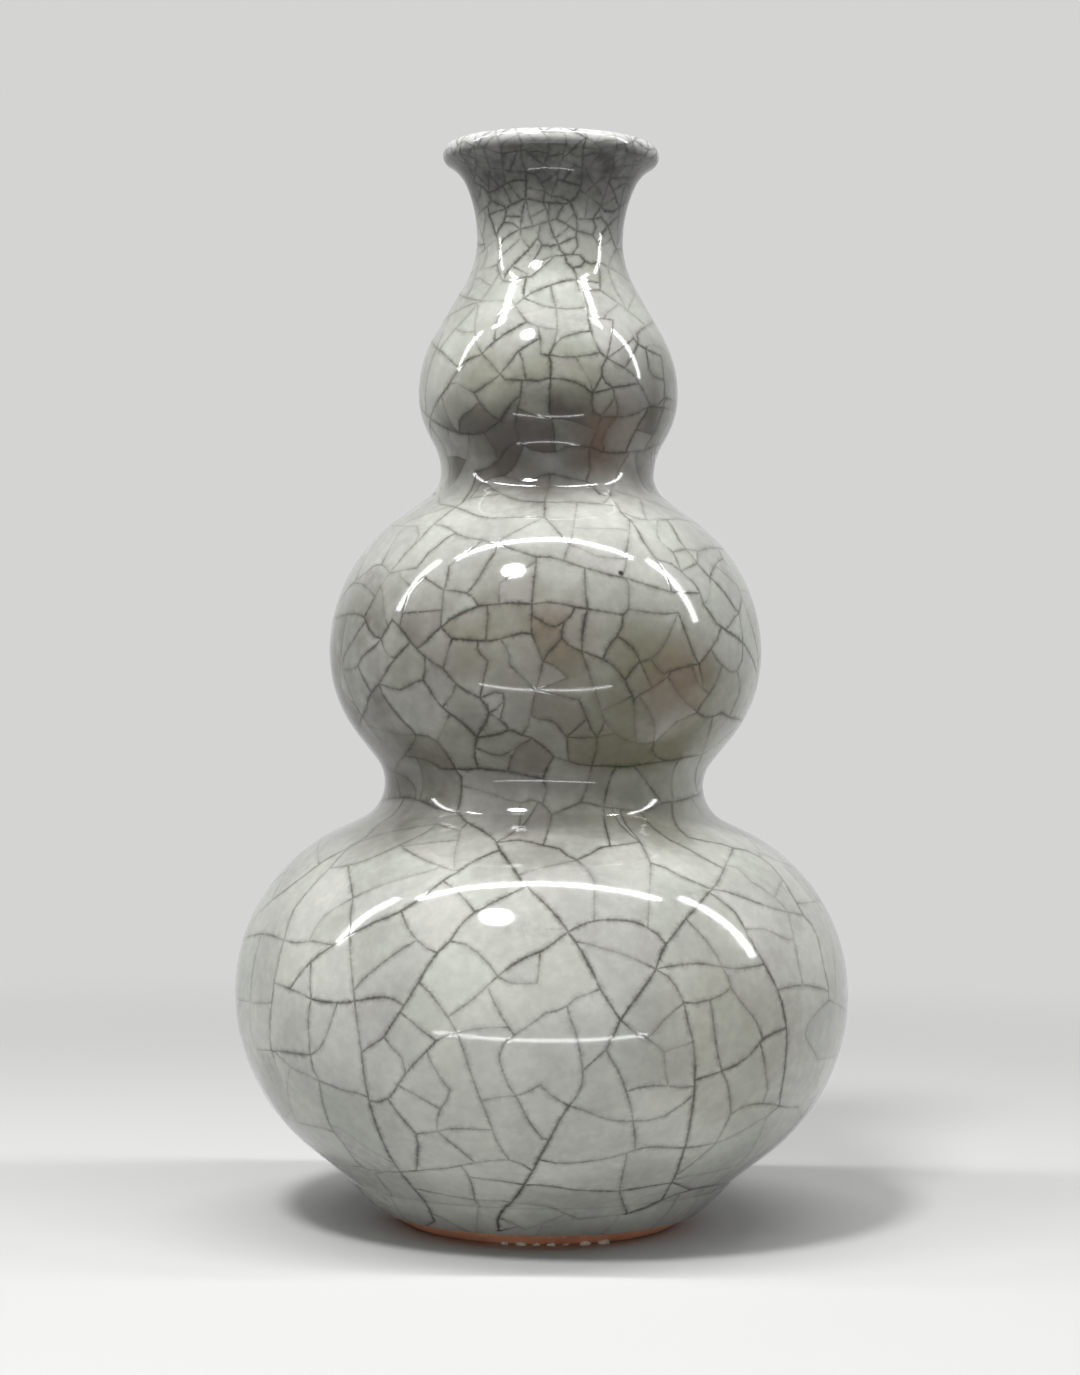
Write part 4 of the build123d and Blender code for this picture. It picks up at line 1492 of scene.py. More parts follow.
class Wiring:
    """A material's nodes, with short ways to add and join them."""

    def __init__(self, name: str) -> None:
        """Start an empty material."""
        self.material = bpy.data.materials.new(name)
        self.material.use_nodes = True
        self.tree = self.material.node_tree
        self.tree.nodes.clear()
        self.shader = self.node("ShaderNodeBsdfPrincipled")
        output = self.node("ShaderNodeOutputMaterial")
        self.tree.links.new(self.shader.outputs[0], output.inputs["Surface"])
        self.spot = self.node("ShaderNodeTexCoord").outputs["Object"]

    def node(self, kind: str, **settings: object) -> bpy.types.Node:
        """Add a node with some of its settings."""
        made = self.tree.nodes.new(kind)
        for key, value in settings.items():
            setattr(made, key, value)
        return made

    def put(self, value: object, socket: Socket) -> None:
        """Join a socket to another, or set it to a plain value."""
        if isinstance(value, Socket):
            self.tree.links.new(value, socket)
        else:
            socket.default_value = value

    def math(self, operation: str, *values: object, clamp: bool = False) -> Socket:
        """The result of a sum on some values."""
        made = self.node("ShaderNodeMath", operation=operation, use_clamp=clamp)
        for value, socket in zip(values, made.inputs):
            self.put(value, socket)
        return made.outputs[0]

    def ramp(self, value: object, low: object, high: object, bottom: float = 0.0, top: float = 1.0) -> object:
        """A value brought smoothly from one range to another."""
        made = self.node("ShaderNodeMapRange", interpolation_type="SMOOTHSTEP")
        for given, name in ((value, "Value"), (low, "From Min"), (high, "From Max"), (bottom, "To Min"),
                            (top, "To Max")):
            self.put(given, made.inputs[name])
        return made.outputs[0]

    def mix(self, share: object, first: object, second: object, blend: str = "MIX") -> Socket:
        """Two colours mixed."""
        made = self.node("ShaderNodeMix", data_type="RGBA", blend_type=blend)
        self.put(share, made.inputs[0])
        self.put(first, made.inputs[6])
        self.put(second, made.inputs[7])
        return made.outputs[2]

    def cloud(self, scale: float, detail: float = 3.0, rough: float = 0.5, spot: object = None) -> object:
        """Noise about the piece's own coordinates."""
        made = self.node("ShaderNodeTexNoise")
        self.put(spot or self.spot, made.inputs["Vector"])
        self.put(scale, made.inputs["Scale"])
        self.put(detail, made.inputs["Detail"])
        self.put(rough, made.inputs["Roughness"])
        return made.outputs[0]

    def axis(self, name: str) -> Socket:
        """One of the piece's own coordinates."""
        split = self.node("ShaderNodeSeparateXYZ")
        self.put(self.spot, split.inputs[0])
        return split.outputs[name]

    def shade(self, colour: object, value: object) -> Socket:
        """A colour made lighter or darker by a number."""
        made = self.node("ShaderNodeCombineColor")
        for socket in made.inputs[:3]:
            self.put(value, socket)
        return self.mix(1.0, colour, made.outputs[0], "MULTIPLY")

    def trait(self, name: str) -> Socket:
        """A number that the piece's mesh carries."""
        return self.node("ShaderNodeAttribute", attribute_name=name).outputs["Fac"]

    def near(self, spot: Vector, core: float, edge: float) -> Socket:
        """One close to a point and nothing far from it."""
        made = self.node("ShaderNodeVectorMath", operation="DISTANCE")
        self.put(self.spot, made.inputs[0])
        self.put(tuple(spot), made.inputs[1])
        return self.ramp(made.outputs["Value"], core, edge, 1.0, 0.0)

    def bump(self, height: object, depth: float, strength: float, over: object = None) -> Socket:
        """A bumped normal."""
        made = self.node("ShaderNodeBump")
        self.put(strength, made.inputs["Strength"])
        self.put(depth, made.inputs["Distance"])
        self.put(height, made.inputs["Height"])
        if over:
            self.put(over, made.inputs["Normal"])
        return made.outputs[0]

    def set(self, name: str, value: object) -> None:
        """Set or join a socket of the shader."""
        self.put(value, self.shader.inputs[name])


@dataclass(frozen=True)
class Stain:
    """A warm or dark patch in the glaze, by the pixel of its middle."""

    pixel: tuple[int, int]
    core: float
    edge: float
    amount: float
    colour: Colour


@dataclass(frozen=True)
class CrackleGlaze:
    """Thick glossy pale grey glaze, stained along its cracks."""

    pale: Colour = (0.49, 0.50, 0.47, 1)
    grey: Colour = (0.362, 0.367, 0.348, 1)
    halo: Colour = (0.36, 0.35, 0.325, 1)
    core: Colour = (0.10, 0.093, 0.08, 1)
    pin: Colour = (0.03, 0.027, 0.022, 1)
    olive: Colour = (0.96, 1.0, 0.88, 1)
    pink: Colour = (1.03, 0.98, 0.96, 1)
    gloss: float = 0.08
    cloud_scale: float = 38.0
    fine_scale: float = 420.0
    blot_scale: float = 130.0
    feather_scale: float = 1300.0
    wave_scale: float = 30.0
    wave_depth: float = 1.2 * MM
    crack_depth: float = 0.03 * MM
    hue_spread: float = 7.31
    hue_share: float = 0.4
    halo_share: float = 0.72
    core_widths: tuple[float, float] = (0.26, 0.2)
    pin_reach: tuple[float, float] = (0.35 * MM, 0.85 * MM)
    lip_wave: tuple[float, float] = (1.6 * MM, -0.8 * MM)
    stains: tuple[Stain, ...] = (
        Stain((480, 398), 5 * MM, 16 * MM, 0.65, (0.20, 0.20, 0.135, 1)),
        Stain((560, 395), 6 * MM, 17 * MM, 0.7, (0.18, 0.18, 0.12, 1)),
        Stain((640, 385), 5 * MM, 16 * MM, 0.5, (0.18, 0.17, 0.16, 1)),
        Stain((668, 385), 5 * MM, 18 * MM, 0.8, (0.09, 0.09, 0.075, 1)),
        Stain((470, 445), 6 * MM, 19 * MM, 0.75, (0.075, 0.069, 0.058, 1)),
        Stain((545, 448), 8 * MM, 20 * MM, 0.95, (0.052, 0.045, 0.036, 1)),
        Stain((630, 445), 7 * MM, 19 * MM, 0.85, (0.07, 0.06, 0.047, 1)),
        Stain((612, 438), 3 * MM, 12 * MM, 0.55, (0.14, 0.07, 0.035, 1)),
        Stain((590, 265), 2 * MM, 8 * MM, 0.4, (0.36, 0.37, 0.29, 1)),
        Stain((390, 720), 18 * MM, 40 * MM, 0.86, (0.115, 0.112, 0.092, 1)),
        Stain((530, 705), 20 * MM, 40 * MM, 0.75, (0.15, 0.141, 0.118, 1)),
        Stain((660, 730), 12 * MM, 34 * MM, 0.8, (0.14, 0.136, 0.085, 1)),
        Stain((680, 690), 4 * MM, 15 * MM, 0.5, (0.20, 0.14, 0.10, 1)),
        Stain((556, 640), 3 * MM, 13 * MM, 0.48, (0.16, 0.122, 0.08, 1)),
        Stain((480, 645), 3 * MM, 13 * MM, 0.4, (0.21, 0.205, 0.14, 1)),
        Stain((620, 650), 3 * MM, 11 * MM, 0.4, (0.16, 0.165, 0.105, 1)),
        Stain((545, 815), 12 * MM, 32 * MM, 0.3, (0.16, 0.152, 0.142, 1)),
        Stain((735, 1045), 7 * MM, 30 * MM, 0.3, (0.30, 0.285, 0.21, 1)),
    )
    # Painted light: the rounded lip's top made near white, as if lit from overhead.
    lip: Colour = (0.60, 0.60, 0.58, 1)
    # Painted shade: a near-black colour laid under the lip, where shade falls.
    painted_under_lip_shade: Colour = (0.02, 0.0175, 0.0135, 1)
    # Heights where the painted shade under the lip starts and becomes full, then where the painted light over
    # the lip starts and becomes full.
    painted_shade_and_light_levels: tuple[float, ...] = (222 * MM, 241 * MM, 245.6 * MM, 248.2 * MM)
    pins: tuple[tuple[int, int], ...] = ((621, 573), (685, 598))

    def make(self, chart: Chart, camera: PhotoCamera) -> Material:
        """The glaze's material.

        Args:
            chart: The chart of the glaze.
            camera: The camera whose pixels name the stains' places.

        Returns:
            The material.
        """
        wires = Wiring("crackle_glaze")
        gap = wires.trait("crack_gap")
        dark = wires.trait("crack_depth")
        tone = wires.trait("cell_tone")
        clouds = wires.cloud(self.cloud_scale, 4, 0.6)
        fine = wires.cloud(self.fine_scale, 3, 0.6)
        colour = wires.mix(wires.ramp(clouds, 0.3, 0.7), self.pale, self.grey)
        colour = wires.shade(colour, wires.ramp(tone, 0, 1, 0.93, 1.05))
        for stain in self.stains:
            spot = chart.point(*camera.strike(chart, stain.pixel))[0]
            share = wires.near(spot, stain.core, stain.edge)
            share = wires.math("MULTIPLY", share, wires.ramp(clouds, 0.25, 0.7, 0.5, 1.25))
            share = wires.math("MULTIPLY", share, wires.ramp(tone, 0.1, 0.9, 0.72, 1.2))
            share = wires.math("MULTIPLY", share, stain.amount, clamp=True)
            colour = wires.mix(share, colour, stain.colour)
        hue = wires.math("FRACT", wires.math("MULTIPLY", tone, self.hue_spread))
        colour = wires.mix(self.hue_share, colour, wires.mix(hue, self.olive, self.pink), "MULTIPLY")
        # Painted shade under the lip and painted light over it.
        colour = self.mouth(wires, colour)
        colour = wires.shade(colour, wires.ramp(fine, 0.35, 0.75, 0.93, 1.05))
        blots = wires.ramp(wires.cloud(self.blot_scale, 3, 0.6), 0.3, 0.7, 0.6, 1.15)
        dark = wires.math("MULTIPLY", dark, blots, clamp=True)
        feather = wires.math("SUBTRACT", wires.cloud(self.feather_scale, 3, 0.7), 0.5)
        rough_gap = wires.math("ADD", gap, wires.math("MULTIPLY", feather, 0.55))
        soft = wires.math("ADD", wires.math("SUBTRACT", fine, 0.5), feather)
        soft_gap = wires.math("ADD", gap, wires.math("MULTIPLY", soft, 0.9))
        halo = wires.ramp(soft_gap, 0.0, 0.9, 1.0, 0.0)
        halo = wires.math("MULTIPLY", halo, wires.math("MULTIPLY", dark, self.halo_share))
        width = wires.math("MULTIPLY_ADD", dark, *self.core_widths)
        core = wires.ramp(rough_gap, -0.1, width, 1.0, 0.0)
        core = wires.math("MULTIPLY", core, wires.ramp(dark, 0.05, 0.9, 0.2, 0.85))
        colour = wires.mix(halo, colour, self.halo, "MULTIPLY")
        colour = wires.mix(core, colour, self.core, "MULTIPLY")
        for pixel in self.pins:
            spot = chart.point(*camera.strike(chart, pixel))[0]
            colour = wires.mix(wires.near(spot, *self.pin_reach), colour, self.pin)
        wires.set("Base Color", colour)
        wires.set("Roughness", wires.ramp(fine, 0.2, 0.8, self.gloss * 0.8, self.gloss * 1.3))
        wires.set("IOR", GLAZE_IOR)
        wave = wires.bump(wires.cloud(self.wave_scale, 2, 0.5), self.wave_depth, 0.25)
        wires.set("Normal", wires.bump(wires.ramp(gap, 0, 0.4), self.crack_depth, 0.2, wave))
        return wires.material

    def mouth(self, wires: Wiring, colour: object) -> Socket:
        """Painted shade under the lip and painted light over it: the glaze darkened in patches below the lip,
        and the rounded lip's top made white.
        """
        height = wires.axis("Z")
        start, full, fade, white = self.painted_shade_and_light_levels
        patches = wires.ramp(wires.cloud(110, 4, 0.7), 0.3, 0.7, 0.7, 1.0)
        # Painted shade: darker in patches from the neck up to under the lip.
        below = wires.math("MULTIPLY", wires.ramp(height, start, full), patches)
        colour = wires.mix(below, colour, self.painted_under_lip_shade)
        # Painted light: the lip's top made near white above a wavy line.
        wavy = wires.math("MULTIPLY_ADD", wires.cloud(160, 2), *self.lip_wave)
        return wires.mix(wires.ramp(wires.math("ADD", height, wavy), fade, white), colour, self.lip)


@dataclass(frozen=True)
class PlainGlaze:
    """Glaze of the inside or the base, with a fine crackle of its own."""

    name: str
    pale: Colour
    grey: Colour
    crack: Colour = (0.09, 0.085, 0.075, 1)
    cells: float = 150.0
    warp_scale: float = 90.0
    warp: float = 6 * MM

    def make(self) -> Material:
        """The glaze's material."""
        wires = Wiring(self.name)
        clouds = wires.cloud(45, 4, 0.6)
        fine = wires.cloud(500, 3, 0.6)
        colour = wires.mix(wires.ramp(clouds, 0.3, 0.7), self.pale, self.grey)
        colour = wires.shade(colour, wires.ramp(fine, 0.3, 0.75, 0.9, 1.06))
        bend = wires.node("ShaderNodeVectorMath", operation="MULTIPLY_ADD")
        warp = wires.node("ShaderNodeTexNoise")
        wires.put(wires.spot, warp.inputs["Vector"])
        wires.put(self.warp_scale, warp.inputs["Scale"])
        wires.put(warp.outputs["Color"], bend.inputs[0])
        wires.put((self.warp,) * 3, bend.inputs[1])
        wires.put(wires.spot, bend.inputs[2])
        gap = wires.node("ShaderNodeTexVoronoi", feature="DISTANCE_TO_EDGE")
        wires.put(bend.outputs[0], gap.inputs["Vector"])
        wires.put(self.cells, gap.inputs["Scale"])
        share = wires.ramp(gap.outputs["Distance"], 0.005, 0.05, 0.6, 0.0)
        halo = wires.ramp(gap.outputs["Distance"], 0.0, 0.15, 0.25, 0.0)
        colour = wires.mix(halo, colour, self.crack)
        colour = wires.mix(share, colour, self.crack)
        wires.set("Base Color", colour)
        wires.set("Roughness", wires.ramp(fine, 0.2, 0.8, 0.1, 0.18))
        wires.set("IOR", GLAZE_IOR)
        wires.set("Normal", wires.bump(wires.cloud(60, 2), 0.8 * MM, 0.25))
        return wires.material


@dataclass(frozen=True)
class BareClay:
    """Fired clay, matt and grainy, with the marks of turning."""

    name: str
    light: Colour
    deep: Colour
    grog: Colour
    ash: Colour
    fleck_scale: float = 520.0
    ring_rate: float = 9000.0

    def make(self) -> Material:
        """The clay's material."""
        wires = Wiring(self.name)
        clouds = wires.cloud(70, 5, 0.65)
        grain = wires.cloud(1400, 4, 0.7)
        colour = wires.mix(wires.ramp(clouds, 0.3, 0.72), self.light, self.deep)
        flecks = wires.node("ShaderNodeTexVoronoi")
        wires.put(wires.spot, flecks.inputs["Vector"])
        wires.put(self.fleck_scale, flecks.inputs["Scale"])
        colour = wires.mix(wires.ramp(flecks.outputs["Distance"], 0.08, 0.26, 0.7, 0.0), colour, self.grog)
        colour = wires.mix(wires.ramp(grain, 0.52, 0.75, 0.0, 0.5), colour, self.deep)
        colour = wires.mix(wires.ramp(wires.cloud(180, 4, 0.6), 0.56, 0.74, 0.0, 0.6), colour, self.ash)
        wires.set("Base Color", colour)
        wires.set("Roughness", wires.ramp(grain, 0.2, 0.8, 0.72, 0.95))
        rings = wires.math("SINE", wires.math("MULTIPLY", wires.axis("Z"), self.ring_rate))
        turned = wires.bump(rings, 0.03 * MM, 0.35)
        wires.set("Normal", wires.bump(grain, 0.15 * MM, 0.6, turned))
        return wires.material


@dataclass
class FootRing:
    """The turned foot ring, bare at its lower edge."""

    outline: Outline
    rim_width: float = 3.2 * MM
    top_width: float = 16.6 * MM
    steps: int = 240
    edge_round: float = 0.5 * MM
    rough: float = 0.16 * MM
    rough_height: float = 5 * MM
    recess_reach: float = 2 * MM
    bite_level: float = 0.4

    def build(self) -> Piece:
        """The ring as one turned shell with worn edges.

        Returns:
            The ring's object.
        """
        wall = self.outline.foot_wall(0)
        top = self.outline.crease.y
        outer = [wall.at(wall.length * index / 12)[:2] for index in range(13)]
        inner_top = (outer[-1][0] - self.top_width, top)
        inner_low = (self.outline.foot_radius - self.rim_width, 0.0)
        recess = [Vector(inner_top).lerp(Vector(inner_low), index / 6) for index in range(7)]
        mesh = turned([*recess, *outer], self.steps)
        corners = [edge for edge in mesh.edges if all(vert.co.z < 1e-6 for vert in edge.verts)
                   and any(face.normal.z > -0.99 for face in edge.link_faces)]
        bmesh.ops.bevel(mesh, geom=corners, offset=self.edge_round, offset_type="OFFSET", affect="EDGES",
                        segments=3, profile=0.5, material=-1)
        for vert in mesh.verts:
            if vert.co.z > self.rough_height:
                continue
            bite = noise.noise(vert.co * 300) * 0.6 + noise.noise(vert.co * 900) * 0.4
            away = Vector((vert.co.x, vert.co.y, 0)).normalized()
            side = 1 if vert.co.length > inner_low[0] + self.recess_reach else -1
            vert.co += away * self.rough * (bite - self.bite_level) * side
        return finish_mesh("bare_foot_ring", mesh)


def finish_mesh(name: str, mesh: Sheet) -> Piece:
    """Turn a bmesh into a smooth piece of the scene.

    Args:
        name: The piece's name.
        mesh: Its bmesh, which is freed.

    Returns:
        The piece's object.
    """
    data = bpy.data.meshes.new(name)
    mesh.to_mesh(data)
    mesh.free()
    data.polygons.foreach_set("use_smooth", [True] * len(data.polygons))
    piece = bpy.data.objects.new(name, data)
    bpy.context.collection.objects.link(piece)
    return piece


def turned(profile: list[tuple[float, float]], steps: int, weld: float = 1e-6) -> Sheet:
    """A half section turned about the axis, closed on itself where it doesn't start there.

    Args:
        profile: Radius and height of each corner, in order.
        steps: How many steps make a full turn.
        weld: How close points are merged.

    Returns:
        The turned mesh.
    """
    mesh = bmesh.new()
    verts = [mesh.verts.new((0, -radius, height)) for radius, height in profile]
    edges = [mesh.edges.new(pair) for pair in zip(verts, verts[1:])]
    if profile[0][0] > 0:
        edges.append(mesh.edges.new((verts[-1], verts[0])))
    bmesh.ops.spin(mesh, geom=verts + edges, cent=(0, 0, 0), axis=(0, 0, 1), angle=2 * math.pi, steps=steps,
                   use_merge=True, use_duplicate=False)
    bmesh.ops.remove_doubles(mesh, verts=mesh.verts[:], dist=weld)
    bmesh.ops.recalc_face_normals(mesh, faces=mesh.faces[:])
    return mesh


@dataclass
class InnerCoat:
    """The coat of glaze inside the hollow."""

    outline: Outline
    step: float = 2.5 * MM
    steps: int = 144

    def build(self) -> Piece:
        """The coat as a closed shell, floor included.

        Returns:
            The coat's object.
        """
        facing = self.walls(self.outline.wall)
        clay = self.walls(self.outline.wall - self.outline.inner_coat)
        profile = [(0.0, facing[0][1]), *facing, *clay[::-1], (0.0, clay[0][1])]
        return finish_mesh("inner_glaze_coat", turned(profile, self.steps))

    def walls(self, depth: float) -> list[tuple[float, float]]:
        """Points up the wall at a depth."""
        points = []
        for stretch in self.outline.inside(depth):
            count = max(2, math.ceil(stretch.length / self.step))
            points += [stretch.at(stretch.length * index / count)[:2] for index in range(count)]
        last = self.outline.inside(depth)[-1]
        return [*points, last.at(last.length)[:2]]


@dataclass
class BaseCoat:
    """The coat of glaze under the base, in the recess of the foot."""

    outline: Outline
    coat: float = 0.7 * MM
    down: float = 5.5 * MM
    rim_width: float = 3.2 * MM
    top_width: float = 16.6 * MM
    fillet: float = 2.0 * MM
    steps: int = 144

    def recess(self, height: float) -> float:
        """Radius of the recess at a height."""
        rim = self.outline.foot_radius - self.rim_width
        ceiling = self.outline.crease.x - self.outline.outer_coat - self.top_width
        return rim + (ceiling - rim) * height / self.outline.crease.y

    def build(self) -> Piece:
        """The coat as a closed shell with a rolled lower edge.

        Returns:
            The coat's object.
        """
        top = self.outline.crease.y
        ceiling = top - self.coat
        edge = top - self.down
        corner = Vector((self.recess(ceiling) - self.coat, ceiling))
        hollow = [
            (corner.x - self.fillet * (1 - math.sin(angle)), corner.y - self.fillet * (1 - math.cos(angle)))
            for angle in (0, 0.3, 0.6, 0.9, 1.2, math.pi / 2)
        ]
        middle = self.recess(edge) - self.coat / 2
        roll = [
            (middle - math.cos(angle) * self.coat / 2, edge + self.coat / 2 - math.sin(angle) * self.coat / 2)
            for angle in (0, 0.5, 1.0, 1.57, 2.1, 2.6, math.pi)
        ]
        inward = [(corner.x * share, ceiling) for share in (0.0, 0.2, 0.4, 0.6, 0.8)]
        outward = [(self.recess(top), top), (0.0, top)]
        return finish_mesh("base_glaze_coat", turned([*inward, *hollow, *roll, *outward], self.steps))


@dataclass
class KilnGrit:
    """Crumbs of kiln grit fused to the front of the foot's lower edge."""

    outline: Outline
    radius: float = 1.1 * MM
    turns: tuple[float, ...] = (-14, -7, -1, 5, 11, 19, 27)
    shares: tuple[float, ...] = (0.6, 0.8, 0.55, 0.7, 0.5, 0.85, 1.0)
    reach: float = 0.3
    stretch: float = 0.55
    size_share: float = 0.97
    least_height: float = 0.02 * MM

    def build(self) -> Piece:
        """Every crumb, rough and flat where it would meet the ground.

        Returns:
            The crumbs' object.
        """
        wall = self.outline.foot_wall(0)
        lean = wall.lean
        mesh = bmesh.new()
        for turn, share in zip(self.turns, self.shares):
            size = self.radius * share
            out, height, _ = wall.at(size)
            out += math.cos(lean) * size * self.reach
            height -= math.sin(lean) * size * self.reach
            angle = math.radians(turn)
            middle = Vector((math.sin(angle) * out, -math.cos(angle) * out, height))
            made = bmesh.ops.create_icosphere(mesh, subdivisions=3, radius=size * self.size_share)
            for vert in made["verts"]:
                way = vert.co.normalized()
                lump = noise.noise(way * 1.6 + Vector((turn, 0, 0))) * 0.22 + noise.noise(way * 4.5) * 0.1
                spread = vert.co * (0.92 + lump)
                along = Vector((math.cos(angle), math.sin(angle), 0))
                vert.co = middle + spread + along * spread.dot(along) * self.stretch
                vert.co.z = max(vert.co.z, self.least_height)
        return finish_mesh("kiln_grit_crumbs", mesh)


@dataclass
class Lamp:
    """One soft lamp of the studio."""

    name: str
    place: tuple[float, float, float]
    aim: tuple[float, float, float]
    size: tuple[float, float]
    watts: float
    shape: str = "RECTANGLE"

    def build(self) -> None:
        """Hang the lamp and aim it."""
        data = bpy.data.lights.new(self.name, "AREA")
        data.shape = self.shape
        data.size, data.size_y = self.size
        data.energy = self.watts
        lamp = bpy.data.objects.new(self.name, data)
        lamp.location = self.place
        back = (Vector(self.place) - Vector(self.aim)).normalized()
        along = Vector((0, 1, 0)) if abs(back.x) > 0.8 else Vector((1, 0, 0))
        along = (along - back * along.dot(back)).normalized()
        lamp.rotation_euler = Matrix((along, back.cross(along), back)).transposed().to_euler()
        bpy.context.collection.objects.link(lamp)


@dataclass
class Studio:
    """The pale floor and backdrop, the soft lamps and the world's dim light."""

    floor_half: float = 3.0
    back: float = 1.6
    rise: float = 3.0
    bend: float = 0.8
    bend_steps: int = 24
    ambient: Colour = (0.045, 0.045, 0.045, 1)
    pale: Colour = (0.57, 0.57, 0.565, 1)
    backdrop: Colour = (0.66, 0.66, 0.65, 1)
    fade_start: float = 0.18
    fade_end: float = 0.6
    lamps: tuple[Lamp, ...] = (
        Lamp("round_lamp", (-0.26, -0.56, 0.98), (0, 0, 0.12), (0.18, 0.18), 7.3, "DISK"),
        Lamp("overhead_tube", (-0.03, -0.16, 1.05), (-0.03, 0.0, 0.12), (1.3, 0.04), 9.8),
        Lamp("left_strip", (-0.72, -0.05, 0.62), (0, 0, 0.14), (0.05, 0.46), 1.4),
        Lamp("right_strip", (0.74, -0.05, 0.62), (0, 0, 0.14), (0.06, 0.58), 2.2),
        Lamp("low_strip", (0.0, -0.24, 0.004), (0, 0, 0.12), (0.33, 0.006), 0.09),
    )

    def build(self) -> None:
        """Set up everything around the vase."""
        self.sweep()
        for lamp in self.lamps:
            lamp.build()
        self.world()
        bpy.context.scene.view_settings.view_transform = "Standard"

    def sweep(self) -> None:
        """The floor that bends up into the backdrop."""
        mesh = bmesh.new()
        line = [mesh.verts.new((0, -self.floor_half, 0)), mesh.verts.new((0, self.back - self.bend, 0))]
        mesh.edges.new(line)
        centre = (0, self.back - self.bend, self.bend)
        made = bmesh.ops.spin(mesh, geom=[line[1]], cent=centre, axis=(1, 0, 0), angle=math.pi / 2,
                              steps=self.bend_steps, use_duplicate=False)
        last = [item for item in made["geom_last"] if isinstance(item, bmesh.types.BMVert)][0]
        top = mesh.verts.new(last.co + Vector((0, 0, self.rise)))
        mesh.edges.new((last, top))
        bmesh.ops.translate(mesh, verts=mesh.verts[:], vec=(-self.floor_half, 0, 0))
        made = bmesh.ops.extrude_edge_only(mesh, edges=mesh.edges[:])
        moved = [item for item in made["geom"] if isinstance(item, bmesh.types.BMVert)]
        bmesh.ops.translate(mesh, verts=moved, vec=(2 * self.floor_half, 0, 0))
        bmesh.ops.recalc_face_normals(mesh, faces=mesh.faces[:])
        sweep = finish_mesh("studio_sweep", mesh)
        sweep.data.materials.append(self.paper())

    def paper(self) -> Material:
        """Pale paper that shows the shadow near the vase and an even tone behind it."""
        wires = Wiring("studio_paper")
        path = wires.node("ShaderNodeLightPath")
        seen = wires.math("MAXIMUM", path.outputs["Is Camera Ray"], path.outputs["Is Glossy Ray"])
        seen = wires.math("MAXIMUM", seen, path.outputs["Is Transmission Ray"])
        pale = wires.shade(self.pale, wires.ramp(wires.cloud(3, 2), 0.3, 0.7, 0.985, 1.0))
        squares = [wires.math("POWER", wires.axis(name), 2.0) for name in "XY"]
        away = wires.math("SQRT", wires.math("ADD", *squares))
        far = wires.math("MULTIPLY", wires.ramp(away, self.fade_start, self.fade_end), seen)
        wires.set("Base Color", wires.mix(far, pale, BLACK))
        wires.set("Roughness", 0.9)
        wires.set("Specular IOR Level", 0.0)
        wires.set("Emission Color", self.backdrop)
        wires.set("Emission Strength", far)
        return wires.material

    def world(self) -> None:
        """Dim even light from all round, pale where the camera sees it."""
        world = bpy.data.worlds.new("studio_world")
        bpy.context.scene.world = world
        world.use_nodes = True
        tree = world.node_tree
        tree.nodes.clear()
        output = tree.nodes.new("ShaderNodeOutputWorld")
        back = tree.nodes.new("ShaderNodeBackground")
        path = tree.nodes.new("ShaderNodeLightPath")
        mix = tree.nodes.new("ShaderNodeMix")
        mix.data_type = "RGBA"
        mix.inputs[6].default_value = self.ambient
        mix.inputs[7].default_value = self.backdrop
        share = path.outputs["Is Camera Ray"]
        for kind in ("Is Glossy Ray", "Is Transmission Ray"):
            either = tree.nodes.new("ShaderNodeMath")
            either.operation = "MAXIMUM"
            tree.links.new(share, either.inputs[0])
            tree.links.new(path.outputs[kind], either.inputs[1])
            share = either.outputs[0]
        tree.links.new(share, mix.inputs[0])
        tree.links.new(mix.outputs[2], back.inputs["Color"])
        tree.links.new(back.outputs[0], output.inputs["Surface"])


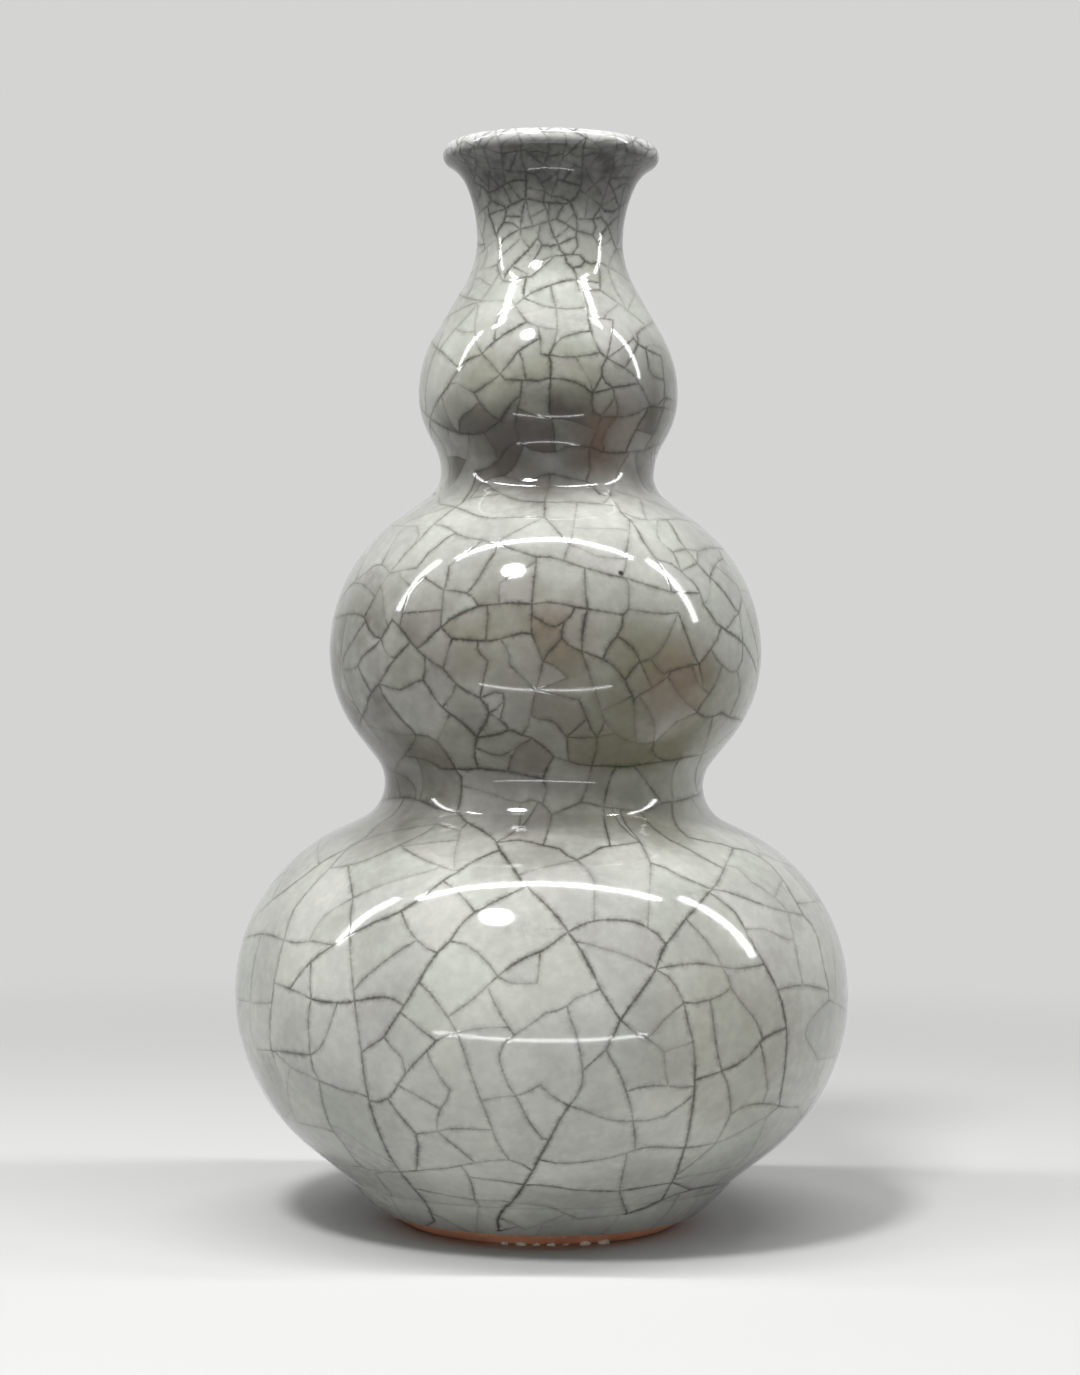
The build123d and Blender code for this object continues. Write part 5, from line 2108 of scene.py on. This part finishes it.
INNER_GLAZE = PlainGlaze("inner_glaze", (0.50, 0.50, 0.46, 1), (0.40, 0.40, 0.37, 1))
BASE_GLAZE = PlainGlaze("base_glaze", (0.50, 0.49, 0.44, 1), (0.40, 0.39, 0.35, 1))
BARE_CLAY = BareClay(
    "bare_clay", (0.88, 0.45, 0.275, 1), (0.64, 0.28, 0.16, 1), (0.88, 0.60, 0.42, 1), (0.78, 0.52, 0.36, 1)
)
KILN_GRIT = BareClay(
    "kiln_grit", (0.80, 0.77, 0.71, 1), (0.60, 0.54, 0.46, 1), (0.84, 0.82, 0.78, 1), (0.68, 0.58, 0.47, 1)
)
FIRED_SLIP = BareClay(
    "fired_slip", (0.36, 0.22, 0.15, 1), (0.24, 0.13, 0.085, 1), (0.45, 0.33, 0.25, 1), (0.38, 0.29, 0.22, 1)
)


def dress(piece: Piece, material: Material, slot: str, *nodes: str) -> None:
    """Give a piece its material and its body, and hide the nodes that it stands for."""
    piece.data.materials.clear()
    piece.data.materials.append(material)
    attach(piece, ROOT)
    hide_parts(*nodes)
    log.info("%s: %d faces, stands for %s", piece.name, len(piece.data.polygons), ", ".join(nodes))


def main() -> None:
    """Build every piece of the vase, then the studio and the camera."""
    logging.basicConfig(level=logging.INFO, format="%(name)s %(message)s")
    camera = PhotoCamera()
    camera.build()
    outline = Outline()
    chart = Chart(outline)
    sheet = CrackSheet(chart, camera).build()
    log.info("crackle sheet: %d faces", len(sheet.faces))
    lower, upper = (chart.place_at_height(outline.stations[index].y) for index in (1, 3))
    bulbs = (
        GlazeBulb("lower_bulb_glaze", 0.0, lower),
        GlazeBulb("middle_bulb_glaze", lower, upper),
        GlazeBulb("upper_bulb_and_mouth_glaze", upper, chart.end),
    )
    crackle = CrackleGlaze().make(chart, camera)
    for bulb in bulbs:
        dress(bulb.build(sheet, chart), crackle, "crackle_glaze", "outer_glaze")
    sheet.free()
    clay, slip = BARE_CLAY.make(), FIRED_SLIP.make()
    dress(InnerCoat(outline).build(), INNER_GLAZE.make(), "inner_glaze", "inner_glaze")
    dress(BaseCoat(outline).build(), BASE_GLAZE.make(), "base_glaze", "base_glaze")
    dress(FootRing(outline).build(), clay, "clay_body", "foot_ring")
    dress(KilnGrit(outline).build(), KILN_GRIT.make(), "kiln_grit", "kiln_grit")
    slots = {part["node"]: part["material_slot"] for part in frame["record"]["subparts"]}
    for node, piece in frame["nodes"].items():
        if slots[node] in ("clay_body", "slip"):
            piece.data.materials.clear()
            piece.data.materials.append(clay if slots[node] == "clay_body" else slip)
            log.info("%s: dressed as %s", node, slots[node])
    Studio().build()


if __name__ == "__main__":
    main()
